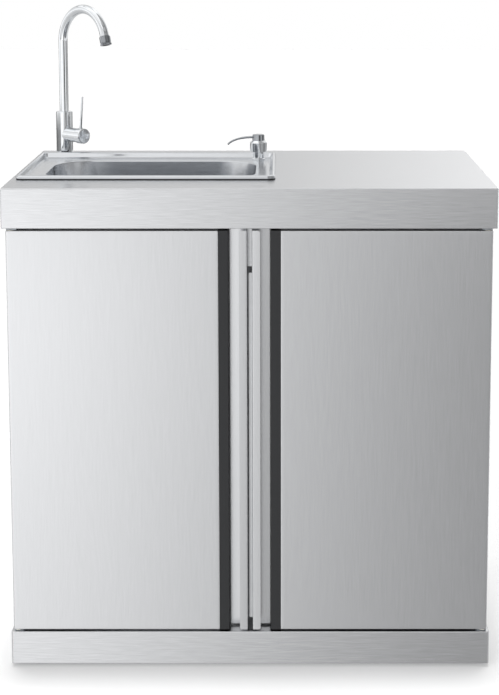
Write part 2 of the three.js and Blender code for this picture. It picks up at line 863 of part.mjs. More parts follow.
function sinkBowl() {
  const upper = [];
  const lower = [];
  const pair = (make, ...rows) => {
    upper.push(make(...rows[0]));
    lower.push(make(...rows[1]));
  };
  pair(rimRing, [0, rimSeat + sinkSheet, 0], [0, rimSeat, 0]);
  for (const [share, rise] of beadShares) {
    const height = rimSeat + sinkSheet + (rimHeight - rimSeat - sinkSheet) * rise;
    pair(rimRing, [share, height, 0], [share + sinkSheet / rimBead * (0.5 - share), height - sinkSheet, 0]);
  }
  pair(rimRing, [1, -deckDrop, 0], [1, -deckDrop - sinkSheet, 0]);
  for (const [inward, down] of rollShares) {
    const z = deckZ - bowlRoll * down;
    pair(bowlRing, [bowlRoll * inward, z, 0], [bowlRoll * inward, z - sinkSheet * (1 - down), sinkSheet * inward]);
  }
  for (const [inward, above] of bendShares) {
    const inset = bowlRoll + bowlDraft + floorBend * inward;
    const z = floorZ + floorBend * above;
    pair(bowlRing, [inset, z, 0], [inset, z - sinkSheet * (1 - above), sinkSheet * (1 - inward)]);
  }
  const fallZ = floorZ - bowlFall;
  pair(drainRing, [recessLip, fallZ], [recessLip, fallZ - sinkSheet]);
  pair(drainRing, [drainRecessRadius, recessZ], [drainRecessRadius, recessZ - sinkSheet]);
  pair(drainRing, [drainHoleRadius, recessZ], [drainHoleRadius, recessZ - sinkSheet]);
  const pumpHole = rod(pumpShankRadius + fit, deckZ - sinkSheet - overrun, deckZ + overrun);
  return cut(loopOfRings([...upper, ...lower.reverse()]), pumpHole.translate(pumpX, pumpY, 0));
}

add(cabinet, 'sink_bowl', sinkBowl(), sinkSteel);

// Seal strip between the rim and the worktop
function sinkSeal() {
  const ring = (inset) => roundedOutline(
    rimX + inset,
    rimX + rimWidth - inset,
    rimY + inset,
    rimY + rimDepth - inset,
    rimRadius - inset,
    sheetCornerSteps,
  );
  const start = (cutoutSeat - sealWidth) / 2;
  const top = topZ + sealThickness;
  return cut(upright(ring(start), topZ, top), upright(ring(start + sealWidth), topZ - overrun, top + overrun));
}

add(cabinet, 'sink_seal', sinkSeal(), rubber);

// Drain flange, its gasket and lock nut, and the lift-out basket, all on the drain's axis
const drain = new THREE.Group();
drain.position.set(drainX, drainY, recessZ);
cabinet.add(drain);

const outletTop = -drainCupDepth - drainSheet;
const outletBottom = outletTop - drainOutletLength;

function drainFlange() {
  return turned([
    [drainCupRadius - drainSheet, fit + drainSheet],
    [drainFlangeRadius, fit + drainSheet],
    [drainFlangeRadius, fit],
    [drainCupRadius + drainSheet / 2, fit],
    [drainCupRadius + drainSheet / 2, outletTop],
    [drainOutletRadius, outletTop],
    [drainOutletRadius, outletBottom],
    [drainOutletBore, outletBottom],
    [drainOutletBore, outletTop + drainSheet],
    [drainCupRadius - drainSheet, outletTop + drainSheet],
  ]);
}

const gasketTop = -sinkSheet - fit;
const cupOuter = drainCupRadius + drainSheet / 2 + fit;
add(drain, 'drain_flange', drainFlange(), sinkSteel);
add(drain, 'drain_gasket', pipe(gasketRadius, cupOuter, gasketTop - gasketThickness, gasketTop), rubber);
const nutTop = gasketTop - gasketThickness - fit;
add(drain, 'drain_lock_nut', pipe(lockNutRadius, cupOuter, nutTop - lockNutHeight, nutTop), whitePlastic);

function strainerBasket() {
  const rimBottom = fit + drainSheet + fit;
  const inner = basketRadius - basketWall;
  const floorTop = rimBottom - basketDepth;
  const stemTop = rimBottom + basketKnobRise;
  const cup = turned([
    [0, floorTop - basketWall],
    [basketRadius, floorTop - basketWall],
    [basketRadius, rimBottom],
    [basketRimRadius, rimBottom],
    [basketRimRadius, rimBottom + basketWall],
    [inner, rimBottom + basketWall],
    [inner, floorTop],
    [basketStemRadius, floorTop],
    [basketStemRadius, stemTop - basketKnobRadius / 2],
    [basketKnobRadius, stemTop - basketKnobRadius / 4],
    [basketKnobRadius, stemTop - basketWall],
    [basketKnobRadius - basketWall, stemTop],
    [0, stemTop],
  ]);
  const holes = Array.from({ length: basketHoles }, (_, i) => {
    const angle = (i / basketHoles) * Math.PI * 2;
    const hole = rod(basketHoleRadius, floorTop - basketWall - overrun, floorTop + overrun, pinSides);
    return hole.translate(basketHoleCircle * Math.cos(angle), basketHoleCircle * Math.sin(angle), 0);
  });
  return cut(cup, ...holes);
}

add(drain, 'strainer_basket', strainerBasket(), sinkSteel);

// Tailpiece, bottle trap and waste pipe, from the drain to the cut-out in the back
const tailTop = recessZ + outletBottom + pipeLap;
const trapTop = recessZ + outletBottom - tailDrop;
const trapBottom = trapTop - trapHeight;
const outletZ = trapTop - trapOutletDrop;

const waste = new THREE.Group();
waste.position.set(drainX, drainY, 0);
cabinet.add(waste);
add(waste, 'tailpiece', pipe(pipeRadius, pipeRadius - pipeWall, trapTop - pipeLap, tailTop), whitePlastic);

function trapBody() {
  const bore = pipeRadius + fit;
  const shell = turned([
    [0, trapTop],
    [trapSocket, trapTop],
    [trapSocket, trapTop - pipeLap],
    [trapRadius, trapTop - pipeLap - (trapRadius - trapSocket)],
    [trapRadius, trapBottom],
    [0, trapBottom],
  ]);
  const stub = alongY(rod(trapSocket, 0, trapOutletReach)).translate(0, 0, outletZ);
  const chamberTop = trapTop - pipeLap - (trapRadius - trapSocket) - trapWall;
  return cut(
    join(shell, stub),
    rod(bore, trapTop - pipeLap - overrun, trapTop + overrun),
    rod(bore - pipeWall, chamberTop - overrun, trapTop),
    rod(trapRadius - trapWall, trapBottom - overrun, chamberTop),
    alongY(rod(bore - pipeWall, trapRadius - 2 * trapWall, trapOutletReach)).translate(0, 0, outletZ),
    alongY(rod(bore, trapOutletReach - pipeLap, trapOutletReach + overrun)).translate(0, 0, outletZ),
  );
}

add(waste, 'trap_body', trapBody(), whitePlastic);

function trapCup() {
  const inner = trapRadius + fit;
  const floorTop = trapBottom - trapCupHeight + trapCupRise;
  return turned([
    [0, floorTop],
    [trapRadius - trapWall, floorTop],
    [trapRadius - trapWall, trapBottom - fit - trapWall],
    [inner, trapBottom - fit - trapWall],
    [inner, trapBottom + trapCupRise],
    [trapCupRadius, trapBottom + trapCupRise],
    [trapCupRadius, floorTop],
    [trapCupRadius - trapWall, floorTop - trapWall],
    [0, floorTop - trapWall],
  ]);
}

add(waste, 'trap_cup', trapCup(), whitePlastic);

const wasteStart = trapOutletReach - pipeLap + fit;
const wasteStop = backY - wasteEnd - drainY;
const wastePipe = alongY(pipe(pipeRadius, pipeRadius - pipeWall, wasteStart, wasteStop));
add(waste, 'waste_pipe', wastePipe.translate(0, 0, outletZ), whitePlastic);

// Mixer tap, turned so that its spout and valve point right and forward
const tap = new THREE.Group();
tap.position.set(tapX, tapY, topZ);
tap.rotation.z = -THREE.MathUtils.degToRad(tapTurn);
cabinet.add(tap);

function faucetBody() {
  const column = turned([
    [0, 0],
    [tapRadius, 0],
    [tapRadius, tapHeight - tapBevel],
    [tapRadius - tapBevel, tapHeight],
    [0, tapHeight],
  ]);
  const housing = alongX(rod(housingRadius, 0, housingReach)).translate(0, 0, housingHeight);
  const shank = rod(shankRadius, -shankLength, tapBevel, roundSides);
  const socket = rod(spoutRadius + fit, tapHeight - spoutSocket, tapHeight + overrun);
  const bore = alongX(rod(cartridgeRadius + fit, cartridgeRoot - fit, housingReach + overrun));
  return cut(
    join(column, housing, shank),
    socket,
    bore.translate(0, 0, housingHeight),
    rod(shankBore, -shankLength - overrun, housingHeight),
  );
}

add(tap, 'faucet_body', faucetBody(), chrome);
const nutSeat = -worktopSheet - fit;
add(tap, 'faucet_nut', hexagon(tapNutRadius, shankRadius + fit, nutSeat - tapNutHeight, nutSeat), zinc);

const valve = new THREE.Group();
valve.position.z = housingHeight;
tap.add(valve);

function cartridge() {
  return alongX(turned([
    [0, cartridgeRoot],
    [cartridgeRadius, cartridgeRoot],
    [cartridgeRadius, housingReach - fit],
    [cartridgeStem, housingReach - fit],
    [cartridgeStem, housingReach + knobWall],
    [0, housingReach + knobWall],
  ]));
}

add(valve, 'mixer_cartridge', cartridge(), whitePlastic);

const knobBack = housingReach + fit;
const knobFront = knobBack + knobLength;
const leverX = knobBack + leverPlace;

function mixerKnob() {
  const cap = alongX(turned([
    [0, knobBack],
    [knobRadius, knobBack],
    [knobRadius, knobFront - knobCrown],
    [knobRadius - knobCrown, knobFront],
    [0, knobFront],
  ]));
  const hollow = alongX(rod(knobRadius - knobWall, knobBack + knobWall, knobFront - knobWall));
  const stemHole = alongX(rod(cartridgeStem + fit, knobBack - overrun, knobBack + knobWall + overrun, smallSides));
  const swing = knobRadius * Math.tan(THREE.MathUtils.degToRad(leverTilt));
  const half = leverRadius + fit;
  const slot = block([leverX - half, leverX + swing + half], [-half, half], [0, knobRadius + overrun]);
  return cut(cap, hollow, stemHole, slot);
}

add(valve, 'mixer_knob', mixerKnob(), chrome);
const leverPin = rod(leverRadius, 0, leverReach, pinSides).translate(leverX, 0, 0);
add(valve, 'lever_pin', leverPin, chrome);

// Gooseneck: up from its socket, over a round bend, and straight on through the aerator
class SpoutLine extends THREE.Curve {
  getPoint(t, target = new THREE.Vector3()) {
    const sweep = THREE.MathUtils.degToRad(spoutSweep);
    const start = tapHeight - spoutSocket + fit;
    const rise = spoutRise - start;
    const bend = spoutBend * sweep;
    const along = t * (rise + bend + aeratorLap);
    if (along < rise) return target.set(0, 0, start + along);
    const angle = Math.min((along - rise) / spoutBend, sweep);
    const past = Math.max(along - rise - bend, 0);
    return target.set(
      spoutBend * (1 - Math.cos(angle)) + past * Math.sin(angle),
      0,
      spoutRise + spoutBend * Math.sin(angle) + past * Math.cos(angle),
    );
  }
}

function spoutTube() {
  const ring = new THREE.Shape().absarc(0, 0, spoutRadius, 0, Math.PI * 2);
  ring.holes.push(new THREE.Path().absarc(0, 0, spoutRadius - spoutWall, 0, Math.PI * 2));
  return new THREE.ExtrudeGeometry(ring, {
    curveSegments: spoutSides,
    steps: spoutSteps,
    bevelEnabled: false,
    extrudePath: new SpoutLine(),
  });
}

add(tap, 'spout_tube', spoutTube(), chrome);

const aerator = new THREE.Group();
const sweepAngle = THREE.MathUtils.degToRad(spoutSweep);
aerator.position.set(
  spoutBend * (1 - Math.cos(sweepAngle)),
  0,
  spoutRise + spoutBend * Math.sin(sweepAngle),
);
aerator.rotation.y = sweepAngle;
tap.add(aerator);

function aeratorCollar() {
  const socket = spoutRadius + fit;
  return turned([
    [socket, fit],
    [aeratorRadius, fit],
    [aeratorRadius, aeratorLength],
    [aeratorBore, aeratorLength],
    [aeratorBore, aeratorLap + fit],
    [socket, aeratorLap + fit],
  ]);
}

add(aerator, 'aerator_collar', aeratorCollar(), chrome);

// Soap pump on the sink deck: a fixed collar, a bottle below, and a pump head on a stem
const pump = new THREE.Group();
pump.position.set(pumpX, pumpY, deckZ);
cabinet.add(pump);

function dispenserCollar() {
  const bore = stemRadius + fit;
  return turned([
    [bore, -pumpShankLength],
    [pumpShankRadius, -pumpShankLength],
    [pumpShankRadius, fit],
    [pumpFlangeRadius, fit],
    [pumpFlangeRadius, pumpFlangeHeight],
    [pumpNeckRadius, pumpFlangeHeight],
    [pumpNeckRadius, pumpNeckHeight],
    [bore, pumpNeckHeight],
  ]);
}

add(pump, 'dispenser_collar', dispenserCollar(), chrome);
const pumpNutTop = -pumpNutDrop;
const pumpNutBottom = pumpNutTop - pumpNutHeight;
add(pump, 'dispenser_nut', hexagon(pumpNutRadius, pumpShankRadius + fit, pumpNutBottom, pumpNutTop), zinc);

function soapBottle() {
  const neck = pumpShankRadius + fit;
  const bottom = -bottleNeckDrop - bottleHeight;
  const neckBottom = -bottleNeckDrop - bottleNeckHeight;
  const shoulder = neckBottom - bottleShoulder;
  return turned([
    [0, bottom],
    [bottleRadius, bottom],
    [bottleRadius, shoulder],
    [neck + bottleWall, neckBottom],
    [neck + bottleWall, -bottleNeckDrop],
    [neck, -bottleNeckDrop],
    [neck, neckBottom],
    [bottleRadius - bottleWall, shoulder - bottleWall],
    [bottleRadius - bottleWall, bottom + bottleWall],
    [0, bottom + bottleWall],
  ]);
}

add(pump, 'soap_bottle', soapBottle(), whitePlastic);
const stemTop = bellTop + stemInHead;
add(pump, 'pump_stem', rod(stemRadius, -stemDrop, stemTop, pinSides), nylon);

function pumpHead() {
  const bore = stemRadius + fit;
  const top = bellTop + headHeight;
  const body = turned([
    [bellRadius - bellWall, bellBottom],
    [bellRadius, bellBottom],
    [bellRadius, bellTop - bellShoulder],
    [bellRadius - bellShoulder, bellTop],
    [headRadius, bellTop],
    [headRadius, top - headBevel],
    [headRadius - headBevel, top],
    [0, top],
    [0, stemTop + fit],
    [bore, stemTop + fit],
    [bore, bellTop - bellShoulder - bellWall],
    [bellRadius - bellWall, bellTop - bellShoulder - bellWall],
  ]);
  const line = new THREE.CatmullRomCurve3([
    new THREE.Vector3(-headRadius / 2, 0, nozzleHeight),
    new THREE.Vector3(-nozzleReach / 2, 0, nozzleHeight - nozzleRadius / 2),
    new THREE.Vector3(-nozzleReach * nozzleBendShare, 0, nozzleHeight - nozzleDrop / 4),
    new THREE.Vector3(-nozzleReach, 0, nozzleHeight - nozzleDrop),
  ]);
  const section = outline(Array.from({ length: nozzleSides }, (_, i) => {
    const angle = (i / nozzleSides) * Math.PI * 2;
    return [nozzleRadius * Math.cos(angle), nozzleRadius * Math.sin(angle)];
  }));
  const nozzle = new THREE.ExtrudeGeometry(section, {
    steps: nozzleSteps,
    bevelEnabled: false,
    extrudePath: line,
  });
  return join(body, nozzle);
}

add(pump, 'pump_head', pumpHead(), chrome);

export default cabinet;
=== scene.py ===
# Looks of the sink cabinet: folded stainless sheet, a pressed sink, a chrome mixer tap and a soap pump.
# Lengths are millimetres until solid() makes them metres. X is right, Y back and Z up, as in the frame.
import json
import math

import bmesh
import bpy
import numpy as np
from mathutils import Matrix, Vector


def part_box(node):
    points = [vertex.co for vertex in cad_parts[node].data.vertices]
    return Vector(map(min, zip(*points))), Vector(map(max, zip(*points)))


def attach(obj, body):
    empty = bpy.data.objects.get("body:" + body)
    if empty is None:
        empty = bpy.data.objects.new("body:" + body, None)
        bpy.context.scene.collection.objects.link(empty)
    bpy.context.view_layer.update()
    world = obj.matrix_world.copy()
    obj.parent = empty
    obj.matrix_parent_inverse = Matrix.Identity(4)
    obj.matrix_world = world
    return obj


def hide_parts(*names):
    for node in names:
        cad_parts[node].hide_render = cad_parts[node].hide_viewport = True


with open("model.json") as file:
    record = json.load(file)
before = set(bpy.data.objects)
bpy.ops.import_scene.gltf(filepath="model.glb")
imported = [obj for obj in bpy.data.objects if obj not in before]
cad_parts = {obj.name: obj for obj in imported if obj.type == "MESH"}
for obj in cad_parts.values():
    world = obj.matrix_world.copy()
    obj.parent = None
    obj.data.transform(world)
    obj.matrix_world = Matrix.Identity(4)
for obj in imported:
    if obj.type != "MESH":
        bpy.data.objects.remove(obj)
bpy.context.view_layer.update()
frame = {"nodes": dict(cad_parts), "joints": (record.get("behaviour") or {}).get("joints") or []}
scene = bpy.context.scene
scene.view_settings.view_transform = "Standard"

MM = 0.001
SAME_POINT = 1e-5
MERGE_REACH = 1e-6  # metres
LEAST_CORNER = 0.3
UP = np.array([0.0, 0.0, 1.0])
# The way to each corner of a rectangle from its middle, anticlockwise.
QUARTERS = np.array([[1, 1], [-1, 1], [-1, -1], [1, -1]])
# Rows give where a turned piece's own X, Y and Z point when it is laid along an axis.
UPRIGHT = np.eye(3)
LAID_BACK = np.array([[1, 0, 0], [0, 0, -1], [0, 1, 0]])
LAID_FRONT = np.array([[1, 0, 0], [0, 0, 1], [0, -1, 0]])


# Outlines: flat shapes as arrays of points


def span(*nodes):
    """Lowest and highest corner that these CAD nodes reach together, in millimetres."""
    boxes = np.array([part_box(n) for n in nodes]) / MM
    return boxes[:, 0].min(0), boxes[:, 1].max(0)


def unit(rows):
    """Each row's direction, one long."""
    return rows / np.linalg.norm(rows, axis=1, keepdims=True)


def rounded(points, radii, steps=4, closed=True):
    """Outline with arcs for corners. An arc starts a tangent's length before its corner and turns with
    its radius: start + radius (sin t · edge + (1 - cos t) · normal), t up to the corner's turn."""
    points = np.asarray(points, float)
    radii = np.array(np.broadcast_to(radii, len(points)), float)
    if not closed:
        radii[[0, -1]] = 0
    before = unit(points - np.roll(points, 1, 0))
    after = np.roll(before, -1, 0)
    turn = np.arctan2(before[:, 0] * after[:, 1] - before[:, 1] * after[:, 0], (before * after).sum(1))
    start = points - before * (radii * np.tan(np.abs(turn) / 2))[:, None]
    side = np.sign(turn)[:, None] * before[:, ::-1] * [-1, 1]
    angle = np.abs(turn)[:, None, None] * np.linspace(0, 1, steps + 1)[:, None]
    arcs = start[:, None] + radii[:, None, None] * (
        np.sin(angle) * before[:, None] + (1 - np.cos(angle)) * side[:, None]
    )
    line = arcs.reshape(-1, 2)
    step = np.linalg.norm(line - np.roll(line, 1, 0), axis=1)
    step[0] = step[0] if closed else 1
    return line[step > SAME_POINT]


def bent(points, radii, steps=4):
    """A line with arcs for corners, whose ends stay open."""
    return rounded(points, radii, steps, closed=False)


def offset(line, distance):
    """The line moved to its left, mitred at each point: (n1 + n2) / (1 + n1 · n2) times the distance."""
    edge = unit(np.diff(line, axis=0))
    normal = edge[:, ::-1] * [-1, 1]
    before, after = np.vstack([normal[:1], normal]), np.vstack([normal, normal[-1:]])
    return line + distance * (before + after) / (1 + (before * after).sum(1))[:, None]


def wall(line, thickness):
    """Section of a bent sheet: the line on one face and, back again, the same line moved to the other."""
    return np.vstack([line, offset(line, thickness)[::-1]])


def band(inner, outer, low, high):
    """Corners of a plain ring's section, as radii and heights."""
    return [[inner, low], [outer, low], [outer, high], [inner, high]]


def rectangle(low, high, radius, steps=4):
    """Rings round rectangles with round corners, a row for each low, high and radius. A point is its
    corner's arc centre plus the radius along its own angle; a radius of half the side gives a circle."""
    low, high = np.atleast_2d(low).astype(float), np.atleast_2d(high).astype(float)
    radius = np.broadcast_to(np.asarray(radius, float).reshape(-1), len(low))[:, None, None]
    angle = (np.arange(4)[:, None] + np.linspace(0, 1, steps + 1)) * np.pi / 2
    reach = np.stack([np.cos(angle), np.sin(angle)], -1).reshape(-1, 2)
    side = np.repeat(QUARTERS, steps + 1, 0)
    middle, half = (low + high)[:, None] / 2, (high - low)[:, None] / 2
    return middle + side * (half - radius) + reach * radius


# Surfaces: (points, [faces by number of corners])


def along(points, order):
    """Puts the columns on the world axes that order names, such as 'xzy' for across, up and back."""
    placed = np.empty(np.shape(points))
    placed[..., ["xyz".index(axis) for axis in order]] = points
    return placed


def raised(flat, height):
    """Flat rings with their heights as the third column."""
    height = np.broadcast_to(np.reshape(height, (-1, 1, 1)), (len(flat), flat.shape[1], 1))
    return np.concatenate([flat, height], -1)


def skin(rings, looped=False):
    """Quads between each ring and the next, round all of it, and from the last to the first if looped."""
    rings = np.asarray(rings, float)
    index = np.arange(rings.shape[0] * rings.shape[1]).reshape(rings.shape[:2])
    index = np.vstack([index, index[:1]]) if looped else index
    index = np.hstack([index, index[:, :1]])
    quads = np.stack([index[:-1, :-1], index[:-1, 1:], index[1:, 1:], index[1:, :-1]], -1)
    return rings.reshape(-1, 3), [quads.reshape(-1, 4)]


def capped(rings):
    """The skin of the rings, closed by a flat face over the first and the last."""
    points, faces = skin(rings)
    ends = np.array([[0], [len(points) - rings.shape[1]]]) + np.arange(rings.shape[1])
    return points, [*faces, ends]


def prism(outline, low, high, order="xyz", bevel=0.0):
    """An outline drawn from low to high along the third axis, drawn in by the bevel at both ends. The
    outline's area, the sum of x1 y2 - y1 x2 along it, has the sign of the side that its inside is on."""
    if not bevel:
        return capped(along(raised(np.stack([outline, outline]), [low, high]), order))
    closed = np.vstack([outline[-1:], outline, outline[:1]])
    x, y = outline.T
    area = (x * np.roll(y, -1) - y * np.roll(x, -1)).sum()
    inner = offset(closed, math.copysign(bevel, area))[1:-1]
    flats = np.stack([inner, outline, outline, inner])
    return capped(along(raised(flats, [low, low + bevel, high - bevel, high]), order))


def pan_rings(low, high, corner, section, steps=4):
    """A section of insets and heights carried round a rectangle: each ring is drawn in by its inset."""
    inset, height = section.T
    low, high = np.asarray(low) + inset[:, None], np.asarray(high) - inset[:, None]
    return raised(rectangle(low, high, np.maximum(corner - inset, LEAST_CORNER), steps), height)


def round_angles(sides):
    """Angles of that many points round a circle."""
    return np.linspace(0, 2 * np.pi, sides, endpoint=False)


def turned(profile, sides=48, hollow=False, flutes=0, depth=0.0):
    """Radii and heights turned round Z. Flutes are depth (1 - cos) / 2 off the radius round the piece."""
    radius, height = np.asarray(profile, float).T
    angle = round_angles(sides)
    groove = np.reshape(depth, (-1, 1)) * (1 - np.cos(flutes * angle)) / 2
    reach = radius[:, None] - groove
    flat = np.stack([reach * np.cos(angle), reach * np.sin(angle)], -1)
    return skin(raised(flat, height), looped=hollow)


def grips(profile, beyond, depth, above=-np.inf):
    """Depth of the flutes at each point of a profile: none but beyond that radius and above that height."""
    return np.where((profile[:, 0] > beyond) & (profile[:, 1] > above), depth, 0.0)


def tube(path, radius, square, sides, bore):
    """Circles square to a flat path: radius (cos a · square + sin a · side), side = direction × square,
    and the same circles with the bore for a radius, back to the start."""
    path = np.asarray(path, float)
    edge = unit(np.diff(path, axis=0))
    direction = unit(np.vstack([edge[:1], edge]) + np.vstack([edge, edge[-1:]]))
    side = np.cross(direction, square)
    angle = round_angles(sides)[:, None]
    circle = np.cos(angle) * np.asarray(square) + np.sin(angle) * side[:, None]
    outer = path[:, None] + np.reshape(radius, (-1, 1, 1)) * circle
    return skin(np.vstack([outer, (path[:, None] + bore * circle)[::-1]]), looped=True)


def moved(surface, origin, axes=UPRIGHT):
    """The surface with its X, Y and Z laid along the rows of axes and its zero at origin."""
    points, faces = surface
    return points @ np.asarray(axes, float) + np.asarray(origin, float), faces


def mirrored(surface, side):
    """The surface on the right for side 1, and the same in the cabinet's middle plane for side -1."""
    points, faces = surface
    return points * [side, 1, 1], faces


def screw(radius, origin, axes):
    """A round head: its height falls with the fourth power of the distance, and a cross is pressed in
    where the lesser of the two distances from its lines is under its half width."""
    sides, rise, drop, sunk = 32, 0.45 * radius, 0.75, 0.6
    cross_half, cross_reach = 0.12, 0.56
    share = np.array([0, 0.1, 0.2, 0.32, 0.44, 0.54, 0.6, 0.8, 0.93, 1.0, 1.0])[:, None]
    x, y = share * np.cos(round_angles(sides)), share * np.sin(round_angles(sides))
    height = rise * (1 - drop * share**4)
    cross = (np.minimum(np.abs(x), np.abs(y)) < cross_half) & (share < cross_reach)
    height = np.where(cross, height - rise * sunk, height)
    height[-1] = 0
    points, faces = skin(np.stack([x * radius, y * radius, height], -1))
    ring = np.arange(sides) + sides * (len(share) - 1)
    return moved((points, [*faces, ring[None]]), origin, axes)


def rivet(radius, origin, axes):
    """The set head of a blind rivet: a low dome with the hole of its drawn pin."""
    shares = np.array([[0, 0.2], [0.28, 0.2], [0.34, 0.5], [0.75, 0.38], [1, 0], [0, 0]])
    profile = bent(radius * shares, [0, 0.1, 0.25 * radius, 0.3 * radius, 0, 0], 2)
    return moved(turned(profile, 20), origin, axes)


def nut(across, low, high, bore):
    """A hexagon nut round Z, its corners turned off at both ends, with a plain bore."""
    narrowing, chamfer, rounding = 0.95, 0.12 * (high - low), 0.05 * across
    angle = np.arange(6) * np.pi / 3
    outline = rounded(np.stack([np.cos(angle), np.sin(angle)], -1) * across, rounding, 2)
    angle = round_angles(len(outline))
    hole = np.stack([np.cos(angle), np.sin(angle)], -1) * bore
    flats = np.stack([outline * narrowing, outline, outline, outline * narrowing, hole, hole])
    return skin(raised(flats, [low, low + chamfer, high - chamfer, high, high, low]), looped=True)


def thread(radius, pitch, low, high):
    """Radii and heights of a screw thread drawn as rings: crest and root alternate every half pitch."""
    root = radius - 0.54 * pitch
    height = np.linspace(low, high, 2 * max(int((high - low) / pitch), 1) + 1)
    return np.stack([np.where(np.arange(len(height)) % 2, radius, root), height], -1)


# Finishes


def linear(colour):
    """sRGB hex to linear light: the 2.4 power above 0.04045, and a twelfth or so below it."""
    srgb = np.array([int(colour[i : i + 2], 16) for i in (1, 3, 5)]) / 255
    light = np.where(srgb > 0.04045, ((srgb + 0.055) / 1.055) ** 2.4, srgb / 12.92)
    return (*light.tolist(), 1.0)


def node(tree, kind, settings=None, links=None, stops=()):
    """Adds a shader node, sets its sockets or properties by name, links its sockets to outputs or to the
    first output of a node, and gives its ramp, if it has one, greys or colours at places from 0 to 1."""
    made = tree.nodes.new("ShaderNode" + kind)
    for name, value in (settings or {}).items():
        if isinstance(name, int) or name in made.inputs:
            made.inputs[name].default_value = value
        else:
            setattr(made, name, value)
    for name, source in (links or {}).items():
        output = source.outputs[0] if isinstance(source, bpy.types.Node) else source
        tree.links.new(output, made.inputs[name])
    if stops:
        elements = made.color_ramp.elements
        while len(elements) < len(stops):
            elements.new(1.0)
        for element, (place, colour) in zip(elements, stops):
            element.position = place
            element.color = colour if np.ndim(colour) else (colour, colour, colour, 1.0)
    return made


NOISE_LOW, NOISE_HIGH = 0.3, 0.7


def bare_tree(owner):
    """The node tree of a material or world, emptied."""
    owner.use_nodes = True
    owner.node_tree.nodes.clear()
    return owner.node_tree


def patterned(name, colour, dark, roughness, spread, size, bump, stretch=(1, 1, 1), ior=None):
    """A principled finish, metal unless it has an ior. One noise, stretched along the grain and size
    millimetres wide across it, tints it, moves the roughness by spread and presses the surface."""
    made = bpy.data.materials.new(name)
    tree = bare_tree(made)
    place = node(tree, "TexCoord")
    grain = node(tree, "Mapping", {"Scale": stretch}, {"Vector": place.outputs["Object"]})
    fineness = {"Scale": 1 / (size * MM), "Detail": 3.0, "Roughness": 0.6}
    noise = node(tree, "TexNoise", fineness, {"Vector": grain})
    stops = [(NOISE_LOW, linear(dark)), (NOISE_HIGH, linear(colour))]
    tint = node(tree, "ValToRGB", links={"Fac": noise}, stops=stops)
    reach = {"From Min": NOISE_LOW, "From Max": NOISE_HIGH,
             "To Min": roughness - spread, "To Max": roughness + spread}
    gloss = node(tree, "MapRange", reach, {"Value": noise})
    press = node(tree, "Bump", {"Strength": bump, "Distance": 0.0002}, {"Height": noise})
    links = {"Base Color": tint, "Roughness": gloss, "Normal": press}
    shader = node(tree, "BsdfPrincipled", {"IOR": ior} if ior else {"Metallic": 1.0}, links)
    node(tree, "OutputMaterial", links={"Surface": shader})
    return made


# Brushed stainless steel: long fine scratches along the sheet, a soft broad sheen. The real scratches
# are 0.1 mm wide and would vanish, so they are drawn 0.9 mm wide.
BRUSHED_UP = patterned(
    "brushed_stainless_upright", "#DBDCDE", "#D5D6D8", roughness=0.26, spread=0.008, size=0.9, bump=0.006,
    stretch=(1, 1, 0.02),
)
BRUSHED_ACROSS = patterned(
    "brushed_stainless_across", "#E0E1E3", "#CFD0D2", roughness=0.25, spread=0.01, size=0.9, bump=0.01,
    stretch=(0.02, 1, 1),
)
# Satin pressed stainless of the sink: smoother than the sheet, with faint drawing marks 8 mm apart.
SATIN_STEEL = patterned(
    "satin_pressed_stainless", "#D6D8DB", "#D0D2D5", roughness=0.17, spread=0.015, size=8.0, bump=0.005,
    stretch=(0.1, 1, 1),
)
# Polished chromium plate: a mirror with the faintest haze, in patches 12 mm wide.
CHROME = patterned(
    "polished_chrome_plate", "#EDEFF1", "#E6E9EC", roughness=0.05, spread=0.01, size=12.0, bump=0.01
)
# Chrome on the pump's cap and the tap's end, as smooth and less than half as bright: the darker base colour
# is a painted dark reflection that stands in for the dark studio this chrome shows.
CHROME_PAINTED_DARK = patterned(
    "chrome_painted_dark_reflection", "#A6A9AD", "#9DA0A4", roughness=0.06, spread=0.01, size=12.0, bump=0.01
)
# Bright zinc plate: dull blue-grey with cloudy spangle about 4 mm wide.
ZINC = patterned("bright_zinc_plate", "#BCC1C6", "#A9AEB4", roughness=0.4, spread=0.06, size=4.0, bump=0.08)
# Black moulded ABS: a dull skin with fine spark texture, drawn 0.8 mm wide to show.
BLACK_TRIM = patterned(
    "moulded_black_abs", "#242527", "#1C1D1F", roughness=0.48, spread=0.05, size=0.8, bump=0.15, ior=1.49
)
# Black nitrile rubber: matt and even, its bloom drawn 1.5 mm wide to show.
RUBBER = patterned(
    "black_nitrile_rubber", "#1E1E1F", "#171718", roughness=0.8, spread=0.05, size=1.5, bump=0.2, ior=1.52
)
# Turned natural nylon: off-white with a soft waxy gloss and streaks, drawn 1.2 mm wide to show.
NYLON = patterned(
    "turned_natural_nylon", "#DEDCD3", "#D3D0C4", roughness=0.42, spread=0.05, size=1.2, bump=0.06,
    stretch=(1, 1, 0.2), ior=1.53,
)
# White moulded polypropylene: smooth, slightly waxy, with faint flow marks 9 mm wide.
POLYPROPYLENE = patterned(
    "moulded_white_polypropylene", "#ECECE8", "#E2E2DD", roughness=0.38, spread=0.05, size=9.0, bump=0.05,
    stretch=(1, 1, 0.4), ior=1.49,
)

SMOOTH_ANGLE = math.radians(32)


